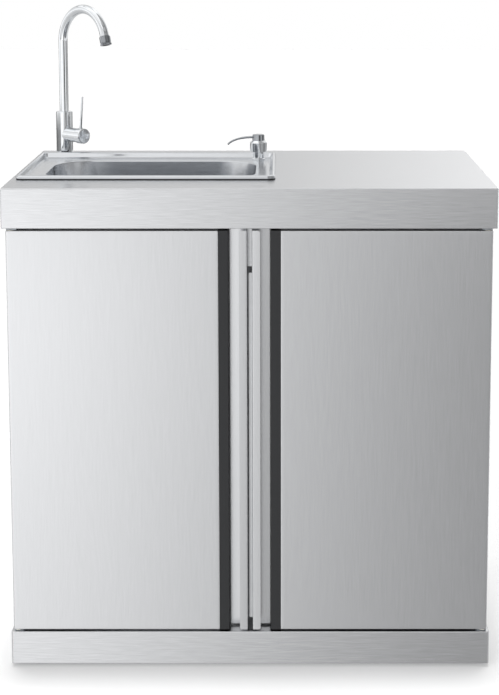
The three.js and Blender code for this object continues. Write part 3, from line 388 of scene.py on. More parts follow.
def solid(name, surfaces):
    """Surfaces joined in one object in metres: doubles merged, flat faces dropped, faces out."""
    counts = np.cumsum([0, *(len(points) for points, _ in surfaces)])
    faces = [
        face for start, (_, groups) in zip(counts, surfaces) for group in groups
        for face in (group + start).tolist()
    ]
    mesh = bpy.data.meshes.new(name)
    mesh.from_pydata((np.vstack([points for points, _ in surfaces]) * MM).tolist(), [], faces)
    form = bmesh.new()
    form.from_mesh(mesh)
    bmesh.ops.remove_doubles(form, verts=form.verts, dist=MERGE_REACH)
    bmesh.ops.dissolve_degenerate(form, edges=form.edges, dist=MERGE_REACH)
    bmesh.ops.recalc_face_normals(form, faces=form.faces)
    form.to_mesh(mesh)
    form.free()
    made = bpy.data.objects.new(name, mesh)
    scene.collection.objects.link(made)
    return made


def piece(name, finish, surfaces, replaces=(), holes=(), body="cabinet"):
    """A finished piece: the surfaces as one object, the holes cut out of it, smooth where faces meet
    gently, dressed with its finish, and riding on its body."""
    made = solid(name, surfaces)
    if holes:
        tool = solid(name + "_holes", holes)
        cutting = made.modifiers.new("holes", "BOOLEAN")
        cutting.object, cutting.solver = tool, "EXACT"
        bpy.context.view_layer.update()
        drilled = made.evaluated_get(bpy.context.evaluated_depsgraph_get())
        plain, made.data = made.data, bpy.data.meshes.new_from_object(drilled)
        made.modifiers.clear()
        bpy.data.objects.remove(tool)
        bpy.data.meshes.remove(plain)
    made.data.name = name
    made.data.materials.clear()
    made.data.materials.append(finish)
    made.data.shade_smooth()
    made.data.set_sharp_from_angle(angle=SMOOTH_ANGLE)
    made.modifiers.new("flat_faces_first", "WEIGHTED_NORMAL").keep_sharp = True
    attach(made, body)
    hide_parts(*replaces)
    return made


def lathed(replaced, made, finish, profile, place, sides, hollow=False, axes=UPRIGHT, holes=(),
           body="cabinet", **grip):
    """A piece that is one turned profile at its place, named after the CAD node that it replaces."""
    surface = moved(turned(profile, sides, hollow, **grip), place, axes)
    return piece(f"{replaced}_{made}", finish, [surface], [replaced], holes, body)


# Sheet metal: what the folded parts share
SHEET, BEND = 1.2, 2.0
FRONT = -305.0
worktop_low, worktop_high = span("worktop")
top = worktop_high[2]
pan_low, pan_high = span("base_pan")
feet = {n[len("levelling_"):]: span(n) for n in frame["nodes"] if n.startswith("levelling_foot")}
foot_places = {name: (low + high)[:2] / 2 for name, (low, high) in feet.items()}

# Base pan: floor, four skirts with returns, and a gusset with a hole over each foot
PAN_LIP, PAN_RETURN, PAN_CORNER = 6.0, 15.0, 3.0
GUSSET, GUSSET_CORNER = 87.0, 1.0
GUSSET_LEVELS = (29.0, 31.0)
FOOT_HOLE = 5.3
skirt = bent([[PAN_LIP, pan_high[2]], [0, pan_high[2]], [0, pan_low[2]], [PAN_RETURN, pan_low[2]]], BEND)
base = [capped(pan_rings(pan_low[:2], pan_high[:2], PAN_CORNER, wall(skirt, SHEET)))]
for place in foot_places.values():
    outer = np.copysign(pan_high[:2] - SHEET / 2, place)
    low, high = np.sort([outer, outer - np.sign(place) * GUSSET], 0)
    plate = rectangle([low] * 2, [high] * 2, GUSSET_CORNER)
    hole = rectangle([place - FOOT_HOLE] * 2, [place + FOOT_HOLE] * 2, FOOT_HOLE)
    gusset = raised(np.vstack([plate, hole]), [*GUSSET_LEVELS, *GUSSET_LEVELS[::-1]])
    base.append(skin(gusset, looped=True))
piece("base_pan_folded", BRUSHED_ACROSS, base, ["base_pan"])

# Levelling feet: a bevelled pad, a threaded screw and a nut under the gusset
PAD_RADIUS, PAD_EDGE, PAD_HEIGHT = 20.0, 4.0, 7.0
FOOT_SCREW, FOOT_PITCH = 5.0, 1.5
FOOT_NUT, FOOT_NUT_LOW, FOOT_NUT_HIGH = 8.9, 22.2, 28.7
for name, (low, high) in feet.items():
    pad = bent(
        [[0, 0], [PAD_RADIUS, 0], [PAD_RADIUS, PAD_EDGE], [7, 5.6], [FOOT_SCREW - 0.5, PAD_HEIGHT]],
        [0, 1.5, 1.5, 1, 0],
    )
    stem = thread(FOOT_SCREW, FOOT_PITCH, PAD_HEIGHT + 0.5, high[2] - 1)
    tip = [[FOOT_SCREW - 1.5, high[2]], [0, high[2]]]
    place = [*foot_places[name], 0]
    made = [
        moved(turned(np.vstack([pad, stem, tip]), 28), place),
        moved(nut(FOOT_NUT, FOOT_NUT_LOW, FOOT_NUT_HIGH, FOOT_SCREW - 0.6), place),
    ]
    piece(f"levelling_{name}_turned", ZINC, made, [f"levelling_{name}"], body=name)

# Side panels: a wall with a front and a back flange
FRONT_FLANGE, BACK_FLANGE = 25.0, 20.0
for side, name in ((-1, "left"), (1, "right")):
    low, high = span(f"{name}_side_panel")
    outer = max(-low[0], high[0])
    fold = bent(
        [[outer - FRONT_FLANGE, low[1]], [outer, low[1]], [outer, high[1]], [outer - BACK_FLANGE, high[1]]],
        BEND,
    )
    panel = mirrored(prism(wall(fold, SHEET), low[2], high[2]), side)
    piece(f"{name}_side_folded", BRUSHED_UP, [panel], [f"{name}_side_panel"])

# Back panel, with the rounded cut-out for the pipes
BACK_CORNER = 0.5
CUTOUT_LOW, CUTOUT_HIGH, CUTOUT_CORNER = (-332.0, 400.0), (-62.0, 720.0), 12.0
low, high = span("back_panel")
edges = rectangle([low[[0, 2]]] * 2, [high[[0, 2]]] * 2, BACK_CORNER)
opening = rectangle([CUTOUT_LOW] * 2, [CUTOUT_HIGH] * 2, CUTOUT_CORNER)
back_faces = [low[1], high[1], high[1], low[1]]
back = skin(along(raised(np.vstack([edges, opening]), back_faces), "xzy"), looped=True)
piece("back_panel_cut", BRUSHED_UP, [back], ["back_panel"])

# Blind rivets through the sides' rear flanges
RIVET_RADIUS, RIVET_ACROSS = 3.2, 436.5
RIVET_LEVELS = np.linspace(105, 815, 6)
flange_back = span("left_side_panel", "right_side_panel")[1][1]
rivets = [
    rivet(RIVET_RADIUS, [x, flange_back, z], LAID_BACK)
    for x in (-RIVET_ACROSS, RIVET_ACROSS) for z in RIVET_LEVELS
]
piece("rear_flange_rivets_set", ZINC, rivets)

# Rails between the side panels, each a channel with its two flanges
for name, flange in (("upper_front_rail", 16), ("upper_rear_rail", 12)):
    low, high = span(name)
    fold = bent(
        [[low[1] + flange, high[2]], [low[1], high[2]], [low[1], low[2]], [low[1] + flange, low[2]]], BEND
    )
    rail = prism(wall(fold, SHEET), low[0], high[0], "yzx")
    piece(f"{name}_folded", BRUSHED_ACROSS, [rail], [name])

# Hat section under the bare half of the worktop
HAT_FOOT, HAT_BEND = 14.0, 0.8
low, high = span("worktop_stiffener")
leg_left, leg_right = low[0] + HAT_FOOT + SHEET, high[0] - HAT_FOOT - SHEET
crown = low[2] + SHEET
fold = bent(
    [[high[0], high[2]], [leg_right, high[2]], [leg_right, crown], [leg_left, crown], [leg_left, high[2]],
     [low[0], high[2]]],
    HAT_BEND,
)
hat = prism(wall(fold, SHEET), low[1], high[1], "xzy")
piece("worktop_stiffener_folded", BRUSHED_ACROSS, [hat], ["worktop_stiffener"])

# Worktop: a pan with a fascia and a return all round, and the holes for the sink and the tap
WORKTOP_EDGE, FASCIA_RETURN, WORKTOP_CORNER = 8.0, 7.0, 2.5
WORKTOP_BEND, FASCIA_BEND = 2.5, 1.4
SINK_SEAT, RIM_RADIUS = 7.0, 16.0
DECK_DROP = 2.0
HOLE_SIDES, HOLE_REACH = 40, 6.0
TAP_HOLE, PUMP_HOLE = 14.5, 11.3
rim_low, rim_high = span("sink_bowl")
deck = top - DECK_DROP
joints = {j["name"]: j for j in frame["joints"]}
tap_place, pump_place = (np.array(joints[name]["pos_m"]) / MM for name in ("spout_turn", "pump_turn"))
tap_place[2], pump_place[2] = top, deck
fold = bent(
    [[WORKTOP_EDGE, top], [0, top], [0, worktop_low[2]], [FASCIA_RETURN, worktop_low[2]]],
    [0, WORKTOP_BEND, FASCIA_BEND, 0], 5,
)
pan = pan_rings(worktop_low[:2], worktop_high[:2], WORKTOP_CORNER, wall(fold, SHEET))
seat_low, seat_high = rim_low[:2] + SINK_SEAT, rim_high[:2] - SINK_SEAT
seat = rectangle(seat_low, seat_high, RIM_RADIUS - SINK_SEAT)
rings = np.vstack([raised(seat, top), pan, raised(seat, top - SHEET)])
tap_hole = moved(turned(band(0, TAP_HOLE, -HOLE_REACH, HOLE_REACH), HOLE_SIDES), tap_place)
piece("worktop_folded", BRUSHED_ACROSS, [skin(rings, looped=True)], ["worktop"], [tap_hole])

# Doors: distances out from the middle line and depths from the worktop's front, mirrored for the left
DOOR_LOW, DOOR_HIGH = 74.0, 841.0
SKIN_START, SKIN_END = 57.5, 449.0
DOOR_FACE, DOOR_BACK = 2.0, 26.0
DOOR_CORNER, DOOR_BEND, DOOR_LIP = 2.0, 1.8, 8.0
LINER_EDGE, LINER_SHEET, LINER_FLANGE, LINER_BEND = 1.5, 1.0, 8.0, 1.6
TRIM_SECTION = [
    (39.5, 2.5), (57.2, 2.5), (57.2, 4.5), (41.5, 4.5), (39.2, 31.2), (57.2, 31.2), (57.2, 33.2),
    (37.2, 33.2),
]
TRIM_RADII = [1.2, 0.4, 0.4, 0.8, 0.8, 0.4, 0.4, 1.2]
PULL_LINE = [(19.5, 2), (4.5, 2), (4.5, 34), (40, 35), (62, 35), (62, 27.8), (80, 27.8)]
PULL_SHEET, PULL_BEND, PULL_CORNER = 1.5, 2.2, 4.0
STRIKE_LOW, STRIKE_HIGH, STRIKE_DEPTHS = (92, 766), (138, 794), (26.3, 27.8)

# Hinges: a pin of the cabinet's plate turns in a bush at the door's top and bottom
PIVOT = (441.0, 11.0, 0.0)
PIN_RADIUS, PIN_LEVELS = 2.95, {"upper": (827.3, 844), "lower": (70.3, 87.7)}
BUSH_BORE, BUSH_RADIUS, BUSH_FLANGE = 3.3, 5.0, 7.0
BUSH_LEVELS = {"upper": (827, 841.7), "lower": (72.3, 88)}
BUSH_HOLE, BUSH_HOLE_REACH = 5.3, 5.0
PLATE_LOW, PLATE_HIGH, PLATE_SHEET = (429.0, 7.0), (448.5, 28.7), 2.0
UPPER_PLATE, LOWER_PLATE = (842, 872), (70, 72)
SCREWS_ACROSS, SCREW_LEVEL, SCREW_DEPTH, SCREW_RADIUS = (434, 443.5), 862, 26.7, 3.2

# Catches: a moulded case with a slot for the magnet between two steel poles, as depths and heights
CATCH_CASE = [
    (28.6, 769), (41.7, 769), (41.7, 791), (28.6, 791), (28.6, 782), (32.6, 782), (32.6, 778), (28.6, 778),
]
CATCH_RADII = [0.8, 0.8, 0.8, 0.8, 0.3, 0, 0, 0.3]
CATCH_ACROSS = (95, 135)
POLE_ACROSS, POLE_DEPTHS, POLE_LEVELS, POLE_THICKNESS = (98, 132), (28.7, 32.5), (778.1, 780.7), 1.2


def pull_section(cut):
    """The pull's folded section, its free front edge drawn in by cut. Its floor leans a degree and a half."""
    (across, back), *rest = PULL_LINE
    return wall(bent([(across - cut, back), *rest], PULL_BEND), -PULL_SHEET)


def door(side, name):
    """One door: skin, liner, black trim, steel pull, bushes and strike plate, and the cabinet's
    hinge plates, pins and magnetic catch beside it."""

    def part(label, finish, surfaces, node_names, body=f"{name}_door", holes=()):
        """A piece of the door or of the cabinet beside it, on the door's side, named after both."""
        sided = [[mirrored(moved(s, [0, FRONT, 0]), side) for s in group] for group in (surfaces, holes)]
        nodes = [f"{name}_{node_name}" for node_name in node_names]
        return piece(f"{name}_{label}", finish, sided[0], nodes, sided[1], body)

    fold = bent([[DOOR_LIP, DOOR_FACE], [0, DOOR_FACE], [0, DOOR_BACK]], DOOR_BEND, 5)
    rings = pan_rings((SKIN_START, DOOR_LOW), (SKIN_END, DOOR_HIGH), DOOR_CORNER, wall(fold, -SHEET))
    bush_holes = [
        moved(turned(band(0, BUSH_HOLE, z - BUSH_HOLE_REACH, z + BUSH_HOLE_REACH), 24), PIVOT)
        for z in (DOOR_LOW, DOOR_HIGH)
    ]
    part("door_skin_folded", BRUSHED_UP, [capped(along(rings, "xzy"))], ["door_skin"], holes=bush_holes)

    fold = bent([[DOOR_LIP, DOOR_BACK], [0, DOOR_BACK], [0, DOOR_BACK - LINER_FLANGE]], LINER_BEND)
    rings = pan_rings((SKIN_START + LINER_EDGE, DOOR_LOW + LINER_EDGE),
                      (SKIN_END - LINER_EDGE, DOOR_HIGH - LINER_EDGE), DOOR_CORNER, wall(fold, LINER_SHEET))
    part("door_liner_folded", BRUSHED_UP, [capped(along(rings, "xzy"))], ["door_liner"])

    trim = prism(rounded(TRIM_SECTION, TRIM_RADII, 3), DOOR_LOW, DOOR_HIGH)
    part("door_trim_moulded", BLACK_TRIM, [trim], ["door_trim"])

    angle = np.linspace(0, np.pi / 2, 6)
    drawn, level = PULL_CORNER * (1 - np.sin(angle)), PULL_CORNER * (1 - np.cos(angle))
    levels = np.concatenate([DOOR_LOW + level, (DOOR_HIGH - level)[::-1]])
    sections = np.stack([pull_section(c) for c in np.concatenate([drawn, drawn[::-1]])])
    part("door_pull_folded", BRUSHED_UP, [capped(raised(sections, levels))], ["door_handle"])

    plate = prism(rectangle(STRIKE_LOW, STRIKE_HIGH, 3.0)[0], *STRIKE_DEPTHS, "xzy", 0.4)
    part("strike_plate_pressed", ZINC, [plate], ["strike_plate"])

    for end, first, last, face, radii in (
        ("upper", BUSH_RADIUS, BUSH_FLANGE, DOOR_HIGH, [0.5, 0.5, 0, 0.2, 0.2, 0.2]),
        ("lower", BUSH_FLANGE, BUSH_RADIUS, DOOR_LOW, [0.3, 0.4, 0.4, 0, 0.5, 0.5]),
    ):
        low, high = BUSH_LEVELS[end]
        profile = rounded(
            [[BUSH_BORE, low], [first, low], [first, face], [last, face], [last, high], [BUSH_BORE, high]],
            radii, 2,
        )
        bush = moved(turned(profile, 32, hollow=True), PIVOT)
        part(f"{end}_bush_turned", NYLON, [bush], [f"{end}_bush"])

    (inner, front), (outer, back) = PLATE_LOW, PLATE_HIGH
    level, crest = UPPER_PLATE
    fold = wall(bent([[front, level], [back, level], [back, crest]], 3.2, 5), PLATE_SHEET)
    heads = [screw(SCREW_RADIUS, [x, SCREW_DEPTH, SCREW_LEVEL], LAID_FRONT) for x in SCREWS_ACROSS]
    plate = prism(fold, inner, outer, "yzx", 0.3)
    part("upper_plate_folded", ZINC, [plate, *heads], ["upper_hinge_plate"], "cabinet")
    plate = prism(rectangle(PLATE_LOW, PLATE_HIGH, 3.5)[0], *LOWER_PLATE, "xyz", 0.4)
    part("lower_plate_cut", ZINC, [plate], ["lower_hinge_plate"], "cabinet")
    for end, levels in PIN_LEVELS.items():
        pin = bent(band(0, PIN_RADIUS, *levels), [0, 0.6, 0.6, 0], 3)
        part(f"{end}_pin_turned", ZINC, [moved(turned(pin, 24), PIVOT)], [f"{end}_hinge_pin"], "cabinet")

    case = prism(rounded(CATCH_CASE, CATCH_RADII, 3), *CATCH_ACROSS, "yzx", 0.6)
    part("catch_case_moulded", BLACK_TRIM, [case], ["magnetic_catch"], "cabinet")
    front, back = POLE_DEPTHS
    poles = [
        prism(rectangle([front, z], [back, z + POLE_THICKNESS], 0.2)[0], *POLE_ACROSS, "yzx")
        for z in POLE_LEVELS
    ]
    part("catch_poles_cut", ZINC, poles, [], "cabinet")


door(-1, "left")
door(1, "right")

# Overlap strip behind the gap between the doors
STRIP_CORNER, STRIP_BEVEL = 2.0, 0.3
low, high = span("overlap_strip")
strip = prism(rectangle(low[[0, 2]], high[[0, 2]], STRIP_CORNER)[0], low[1], high[1], "xzy", STRIP_BEVEL)
piece("overlap_strip_cut", BRUSHED_UP, [strip], ["overlap_strip"], body="right_door")

# Sink: rings from the outer lip over the bead, across the deck, down the walls and over the floor
SINK_SHEET = 1.0
RIM_BEAD, RIM_BACK_BEAD = 13.0, np.array([13.0, 25.0])
RIM_LIP, RIM_HEIGHT, BEAD_CREST = 1.9, 8.4, 0.42
BOWL_LOW, BOWL_HIGH = np.array([-404.0, -144.0]), np.array([10.0, 138.0])
BOWL_RADIUS, BOWL_ROLL, BOWL_DRAFT, BOWL_BEND = 78.0, 2.0, 3.0, 30.0
CORNER_SPREAD, CORNER_STEPS = 34.0, 14
BOWL_FLOOR = deck - 148
FLOOR_FALL, RECESS = 3.0, 4.0
RECESS_RADIUS, DRAIN_HOLE = 58.0, 44.3
drain = (BOWL_LOW + BOWL_HIGH) / 2
recess_level = BOWL_FLOOR - FLOOR_FALL - RECESS


def rim_rings(share, height):
    """Rings of the bead: drawn in by the share of its width, which is more along the back."""
    share = np.reshape(share, (-1, 1))
    low, high = rim_low[:2] + RIM_BEAD * share, rim_high[:2] - RIM_BACK_BEAD * share
    return raised(rectangle(low, high, RIM_RADIUS - RIM_BEAD * share, CORNER_STEPS), height)


def bowl_rings(inset, height):
    """Rings of the bowl: its opening drawn in by the inset, the corner radius with it. The corners are
    parts of cones, whose radius grows by CORNER_SPREAD on the way down."""
    inset = np.reshape(inset, (-1, 1))
    share = np.clip((deck - height) / (deck - BOWL_FLOOR), 0, 1)
    radius = BOWL_RADIUS - inset[:, 0] + CORNER_SPREAD * share
    return raised(rectangle(BOWL_LOW + inset, BOWL_HIGH - inset, radius, CORNER_STEPS), height)


def drain_rings(radius, height):
    """Circles round the drain with as many points as the bowl's rings."""
    radius = np.reshape(radius, (-1, 1))
    return raised(rectangle(drain - radius, drain + radius, radius, CORNER_STEPS), height)


# The bead rises as a quarter wave to its crest and falls to the deck as 3 t² - 2 t³.
quarter = np.linspace(0, np.pi / 2, 7)
fall = np.linspace(0, 1, 13)[1:]
share = np.concatenate([BEAD_CREST * (1 - np.cos(quarter)), BEAD_CREST + (1 - BEAD_CREST) * fall])
lip = RIM_LIP + SINK_SHEET
height = np.concatenate([
    lip + (RIM_HEIGHT - lip) * np.sin(quarter),
    RIM_HEIGHT - (RIM_HEIGHT + DECK_DROP) * fall**2 * (3 - 2 * fall),
])
rim_upper = rim_rings(share, top + height)
rim_lower = rim_rings(share + SINK_SHEET / RIM_BEAD * (0.5 - share), top + height - SINK_SHEET)
roll, bend = quarter, np.linspace(0, np.pi / 2, 9)
inset = np.concatenate([BOWL_ROLL * np.sin(roll), BOWL_ROLL + BOWL_DRAFT + BOWL_BEND * (1 - np.cos(bend))])
level = np.concatenate([deck - BOWL_ROLL * (1 - np.cos(roll)), BOWL_FLOOR + BOWL_BEND * (1 - np.sin(bend))])
out = SINK_SHEET * np.concatenate([np.sin(roll), np.cos(bend)])
down = SINK_SHEET * np.concatenate([np.cos(roll), np.sin(bend)])
circle = np.array([*(RECESS_RADIUS + np.array([3, 1, -1, -3])), DRAIN_HOLE])
circle_level = recess_level + np.array([RECESS, RECESS - 0.6, 0.6, 0, 0])
rings = np.vstack([
    rim_upper, bowl_rings(inset, level), drain_rings(circle, circle_level),
    drain_rings(circle, circle_level - SINK_SHEET)[::-1], bowl_rings(inset - out, level - down)[::-1],
    rim_lower[::-1],
])
pump_hole = moved(turned(band(0, PUMP_HOLE, -HOLE_REACH, HOLE_REACH), HOLE_SIDES), pump_place)
piece("sink_bowl_pressed", SATIN_STEEL, [skin(rings, looped=True)], ["sink_bowl"], [pump_hole])

SEAL_WIDTH, SEAL_RADIUS = 5.0, 15.0
low, high = span("sink_seal")
inset = np.array([[0.0], [0.0], [SEAL_WIDTH], [SEAL_WIDTH]])
strip = rectangle(low[:2] + inset, high[:2] - inset, SEAL_RADIUS - inset, 8)
strip = skin(raised(strip, [low[2], top + RIM_LIP, top + RIM_LIP, low[2]]), looped=True)
piece("sink_seal_strip", RUBBER, [strip], ["sink_seal"])

# Drain, from the recess down: flange with its cup and outlet, gasket, lock nut and lift-out basket
THREAD_RADIUS = 43.6
drain_place = np.array([*drain, recess_level])
flange = rounded(
    [[41, 1.8], [54, 1.8], [54, 0.3], [43.25, 0.3], [43.25, -39.5], [20, -39.5], [20, -61.5], [17, -61.5],
     [17, -38], [41, -38]],
    [2.5, 0.6, 0.2, 1, 3, 2, 0.4, 0.4, 1, 3], 4,
)
lathed("drain_flange", "pressed", SATIN_STEEL, flange, drain_place, 64, True)
gasket = rounded(band(THREAD_RADIUS, 56, -4.3, -1.3), 0.5, 3)
lathed("drain_gasket", "moulded", RUBBER, gasket, drain_place, 64, True)
ring = rounded([[THREAD_RADIUS, -14.6], [57, -14.6], [58, -10], [58, -4.6], [THREAD_RADIUS, -4.6]], 0.6, 3)
lathed("drain_lock_nut", "moulded", POLYPROPYLENE, ring, drain_place, 192, True,
       flutes=24, depth=grips(ring, 50, 1.6))

# Basket: three rings of holes, each a reach from its middle, a first angle and a step in degrees
BASKET_HOLES, BASKET_HOLE = ((26.0, 0, 45), (33.0, 15, 30), (16.0, 0, 60)), 2.5
basket = bent(
    [[0, -23.1], [39, -23.1], [39, 2.1], [45.5, 2.1], [45.5, 3.3], [37.8, 3.3], [37.8, -21.9], [5, -21.9],
     [3, -20], [3, 7], [8, 9], [8, 10], [6.5, 11.1], [0, 11.1]],
    [0, 4, 1.5, 0.5, 0.5, 2.5, 3, 1.5, 1.5, 2, 0.8, 0.8, 0.8, 0],
)
holes = [
    moved(turned(band(0, BASKET_HOLE, -26, -19), 20), drain_place + [reach * np.cos(a), reach * np.sin(a), 0])
    for reach, first, step in BASKET_HOLES for a in np.radians(np.arange(first, 360, step))
]
lathed("strainer_basket", "pressed", SATIN_STEEL, basket, drain_place, 72, holes=holes, body="strainer")

# Waste: tailpiece, bottle trap with its cup, and the pipe out through the back
PIPE_BORE, PIPE_RADIUS, PIPE_EDGE = 15.3, 16.7, 0.4
drain_line = [*drain, 0]
low, high = span("tailpiece")
tail = rounded(band(PIPE_BORE, PIPE_RADIUS, low[2], high[2]), PIPE_EDGE, 2)
lathed("tailpiece", "moulded", POLYPROPYLENE, tail, drain_line, 40, True)

body_low, body_high = span("trap_body")
trap_top, outlet = body_high[2], body_high[2] - 36
shell = rounded(
    [[17, trap_top], [22, trap_top], [22, trap_top - 14], [19.5, trap_top - 15], [30, trap_top - 24],
     [30, body_low[2]], [27.5, body_low[2]], [27.5, trap_top - 23], [17, trap_top - 18]],
    [0.6, 1, 0.6, 1, 6, 0.5, 0.5, 4, 1], 4,
)
stub = rounded(
    [[15.6, 24], [18.5, 24], [18.5, 46], [22, 46.5], [22, 62], [17, 62], [17, 50], [15.6, 50]],
    [0, 0, 1, 0.8, 1, 0.5, 0.3, 0.3], 3,
)
piece("trap_body_moulded", POLYPROPYLENE, [
    moved(turned(shell, 144, True, 18, grips(shell, 21.5, 1.2, trap_top - 13.5)), drain_line),
    moved(turned(stub, 144, True, 18, grips(stub, 21.5, 1.2)), [*drain, outlet], LAID_BACK),
], ["trap_body"])

low, high = span("trap_cup")
cup = bent(
    [[0, low[2]], [24, low[2]], [31, low[2] + 8], [34, low[2] + 14], [34, high[2]], [30.4, high[2]],
     [30.4, low[2] + 16], [27, low[2] + 12], [0, low[2] + 3]],
    [0, 5, 3, 1.5, 1.2, 0.5, 1, 3, 0],
)
lathed("trap_cup", "moulded", POLYPROPYLENE, cup, drain_line, 160, flutes=20, depth=grips(cup, 33.2, 1.3))

low, high = span("waste_pipe")
pipe = rounded(band(PIPE_BORE, PIPE_RADIUS, low[1] - drain[1], high[1] - drain[1]), PIPE_EDGE, 2)
lathed("waste_pipe", "moulded", POLYPROPYLENE, pipe, [*drain, outlet], 40, True, LAID_BACK)

# Mixer tap, its spout and valve turned to the right and forward
TAP_RADIUS, TAP_HEIGHT, SPOUT_SOCKET = 17.5, 90.0, 25.0
HOUSING_RADIUS, HOUSING_REACH, HOUSING_LEVEL, HOUSING_BORE = 15.0, 50.0, 41.5, 11.8
KNOB_RADIUS, KNOB_LENGTH, KNOB_GAP, KNOB_WALL = 16.5, 16.5, 0.3, 2.2
LEVER_FOOT, LEVER_TIP, LEVER_PLACE, LEVER_REACH = 3.0, 2.1, 55.3, 84.0
LEVER_LEAN, KNOB_TOP = math.radians(6), 16.0
SPOUT_RADIUS, SPOUT_BORE, SPOUT_GAP = 9.5, 8.2, 0.3
SPOUT_START, SPOUT_MIDDLE, SPOUT_RISE, SPOUT_END = 66.0, 150.0, 238.0, 8.0
SPOUT_BEND, SPOUT_SWEEP = 70.0, math.radians(166)
out_axis = np.array([math.cos(math.pi / 4), -math.sin(math.pi / 4), 0])
side_axis = np.array([math.sin(math.pi / 4), math.cos(math.pi / 4), 0])
TAP = np.array([out_axis, side_axis, UP])
VALVE = np.array([-UP, side_axis, out_axis])
valve_place = tap_place + [0, 0, HOUSING_LEVEL]
column = bent(
    [[0, 0], [TAP_RADIUS, 0], [TAP_RADIUS, TAP_HEIGHT], [SPOUT_RADIUS + SPOUT_GAP, TAP_HEIGHT],
     [SPOUT_RADIUS + SPOUT_GAP, TAP_HEIGHT - SPOUT_SOCKET], [0, TAP_HEIGHT - SPOUT_SOCKET]],
    [0, 0.8, 1.2, 0.4, 0, 0],
)
housing = bent(
    [[0, 0], [HOUSING_RADIUS, 0], [HOUSING_RADIUS, HOUSING_REACH], [HOUSING_BORE, HOUSING_REACH],
     [HOUSING_BORE, 44], [0, 44]],
    [0, 0, 0.8, 0.3, 0, 0],
)
shank = np.vstack([[[0, -50]], [[11.5, -50]], thread(13, 1.8, -49, -3), [[12.5, -2], [12.5, 2], [0, 2]]])
piece("faucet_body_turned", CHROME, [
    moved(turned(column, 72), tap_place), moved(turned(housing, 72), valve_place, VALVE),
    moved(turned(shank, 40), tap_place),
], ["faucet_body"])
piece("faucet_nut_cut", ZINC, [moved(nut(22, -9.8, -1.8, 13.3), tap_place, TAP)], ["faucet_nut"])
core = bent([[0, 14], [11.5, 14], [11.5, 49.7], [4, 49.7], [4, 52.2], [0, 52.2]], [0, 1, 0.8, 0.5, 0.5, 0], 3)
lathed("mixer_cartridge", "moulded", POLYPROPYLENE, core, valve_place, 40, axes=VALVE)
start = HOUSING_REACH + KNOB_GAP
end = start + KNOB_LENGTH
knob = rounded(
    [[4.3, start], [KNOB_RADIUS, start], [KNOB_RADIUS, end], [0, end], [0, end - KNOB_WALL],
     [KNOB_RADIUS - KNOB_WALL, end - KNOB_WALL], [KNOB_RADIUS - KNOB_WALL, start + KNOB_WALL],
     [4.3, start + KNOB_WALL]],
    [0, 0.8, 2.6, 0, 0, 1, 0.5, 0], 5,
)
slot_outline = rectangle([LEVER_PLACE - 3, -3], [LEVER_PLACE + 9, 3], 2.99)[0]
slot = moved(prism(slot_outline, 4, 22), valve_place, TAP)
lathed("mixer_knob", "turned", CHROME, knob, valve_place, 72, True, VALVE, [slot], "mixer_knob")
stick = bent([[0, 0], [LEVER_FOOT, 0], [LEVER_TIP, LEVER_REACH], [0, LEVER_REACH]], [0, 0.8, 1.7, 0], 5)
lean = np.array([[math.cos(LEVER_LEAN), 0, -math.sin(LEVER_LEAN)], [0, 1, 0],
                 [math.sin(LEVER_LEAN), 0, math.cos(LEVER_LEAN)]])
lever_place = valve_place + (LEVER_PLACE - KNOB_TOP * math.tan(LEVER_LEAN)) * out_axis
lever = moved(turned(stick, 32), lever_place, lean @ TAP)
piece("mixer_lever_turned", CHROME, [lever], ["lever_pin"], body="mixer_lever")

# Spout: up, round the bend and into the aerator
turn = np.linspace(0, SPOUT_SWEEP, 57)
arc = np.stack([SPOUT_BEND * (1 - np.cos(turn)), 0 * turn, SPOUT_RISE + SPOUT_BEND * np.sin(turn)], -1)
tip_way = np.array([math.sin(SPOUT_SWEEP), 0, math.cos(SPOUT_SWEEP)])
path = np.vstack([[[0, 0, SPOUT_START]], [[0, 0, SPOUT_MIDDLE]], arc, arc[-1:] + SPOUT_END * tip_way])
spout = moved(tube(path, SPOUT_RADIUS, (0, 1, 0), 48, SPOUT_BORE), tap_place, TAP)
piece("spout_tube_bent", CHROME, [spout], ["spout_tube"], body="spout")
AERATOR = np.array([np.cross([0, 1, 0], tip_way), [0, 1, 0], tip_way]) @ TAP
nozzle = rounded(
    [[9.7, 0.3], [10.2, 0.3], [10.2, 1.6], [11.4, 2.2], [11.4, 14], [10.4, 14.6], [10.4, 15.6], [11.7, 16.2],
     [11.7, 19.4], [10.8, 20], [8.2, 20], [8.2, 12], [9.7, 8.5]],
    [0.1, 0.1, 0.1, 0.5, 0.3, 0.1, 0.1, 0.2, 0.3, 0.3, 0.4, 0.3, 0], 3,
)
# The aerator collar's darker chrome is a painted dark reflection.
lathed("aerator_collar", "turned", CHROME_PAINTED_DARK, nozzle, tap_place + arc[-1] @ TAP, 180, True, AERATOR,
       body="spout", flutes=30, depth=grips(nozzle, 11.2, 0.9, 15.7))

# Soap pump on the sink's deck: collar, nut and bottle below, stem, bell and nozzle above
collar = rounded(
    [[4.3, -38], [11, -38], [11, 0.3], [13.5, 0.3], [13.5, 2], [11.8, 3.2], [11.8, 20], [4.3, 20]],
    [0.5, 0.8, 0, 0.3, 0.8, 0.8, 1.2, 0.5], 4,
)
lathed("dispenser_collar", "turned", CHROME, collar, pump_place, 56, True)
piece("dispenser_nut_cut", ZINC, [moved(nut(19, -9.5, -2.5, PUMP_HOLE), pump_place)], ["dispenser_nut"])
bottle = bent(
    [[0, -139], [28, -139], [28, -51], [13.3, -37], [13.3, -21], [11.3, -21], [11.3, -37], [26, -52],
     [26, -137], [0, -137]],
    [0, 5, 9, 4, 0.5, 0.5, 4, 8, 4, 0], 5,
)
lathed("soap_bottle", "blown", POLYPROPYLENE, bottle, pump_place, 56)
low, high = span("pump_stem")
stem = bent(band(0, 3.8, low[2] - deck, high[2] - deck), [0, 0.8, 0.4, 0], 3)
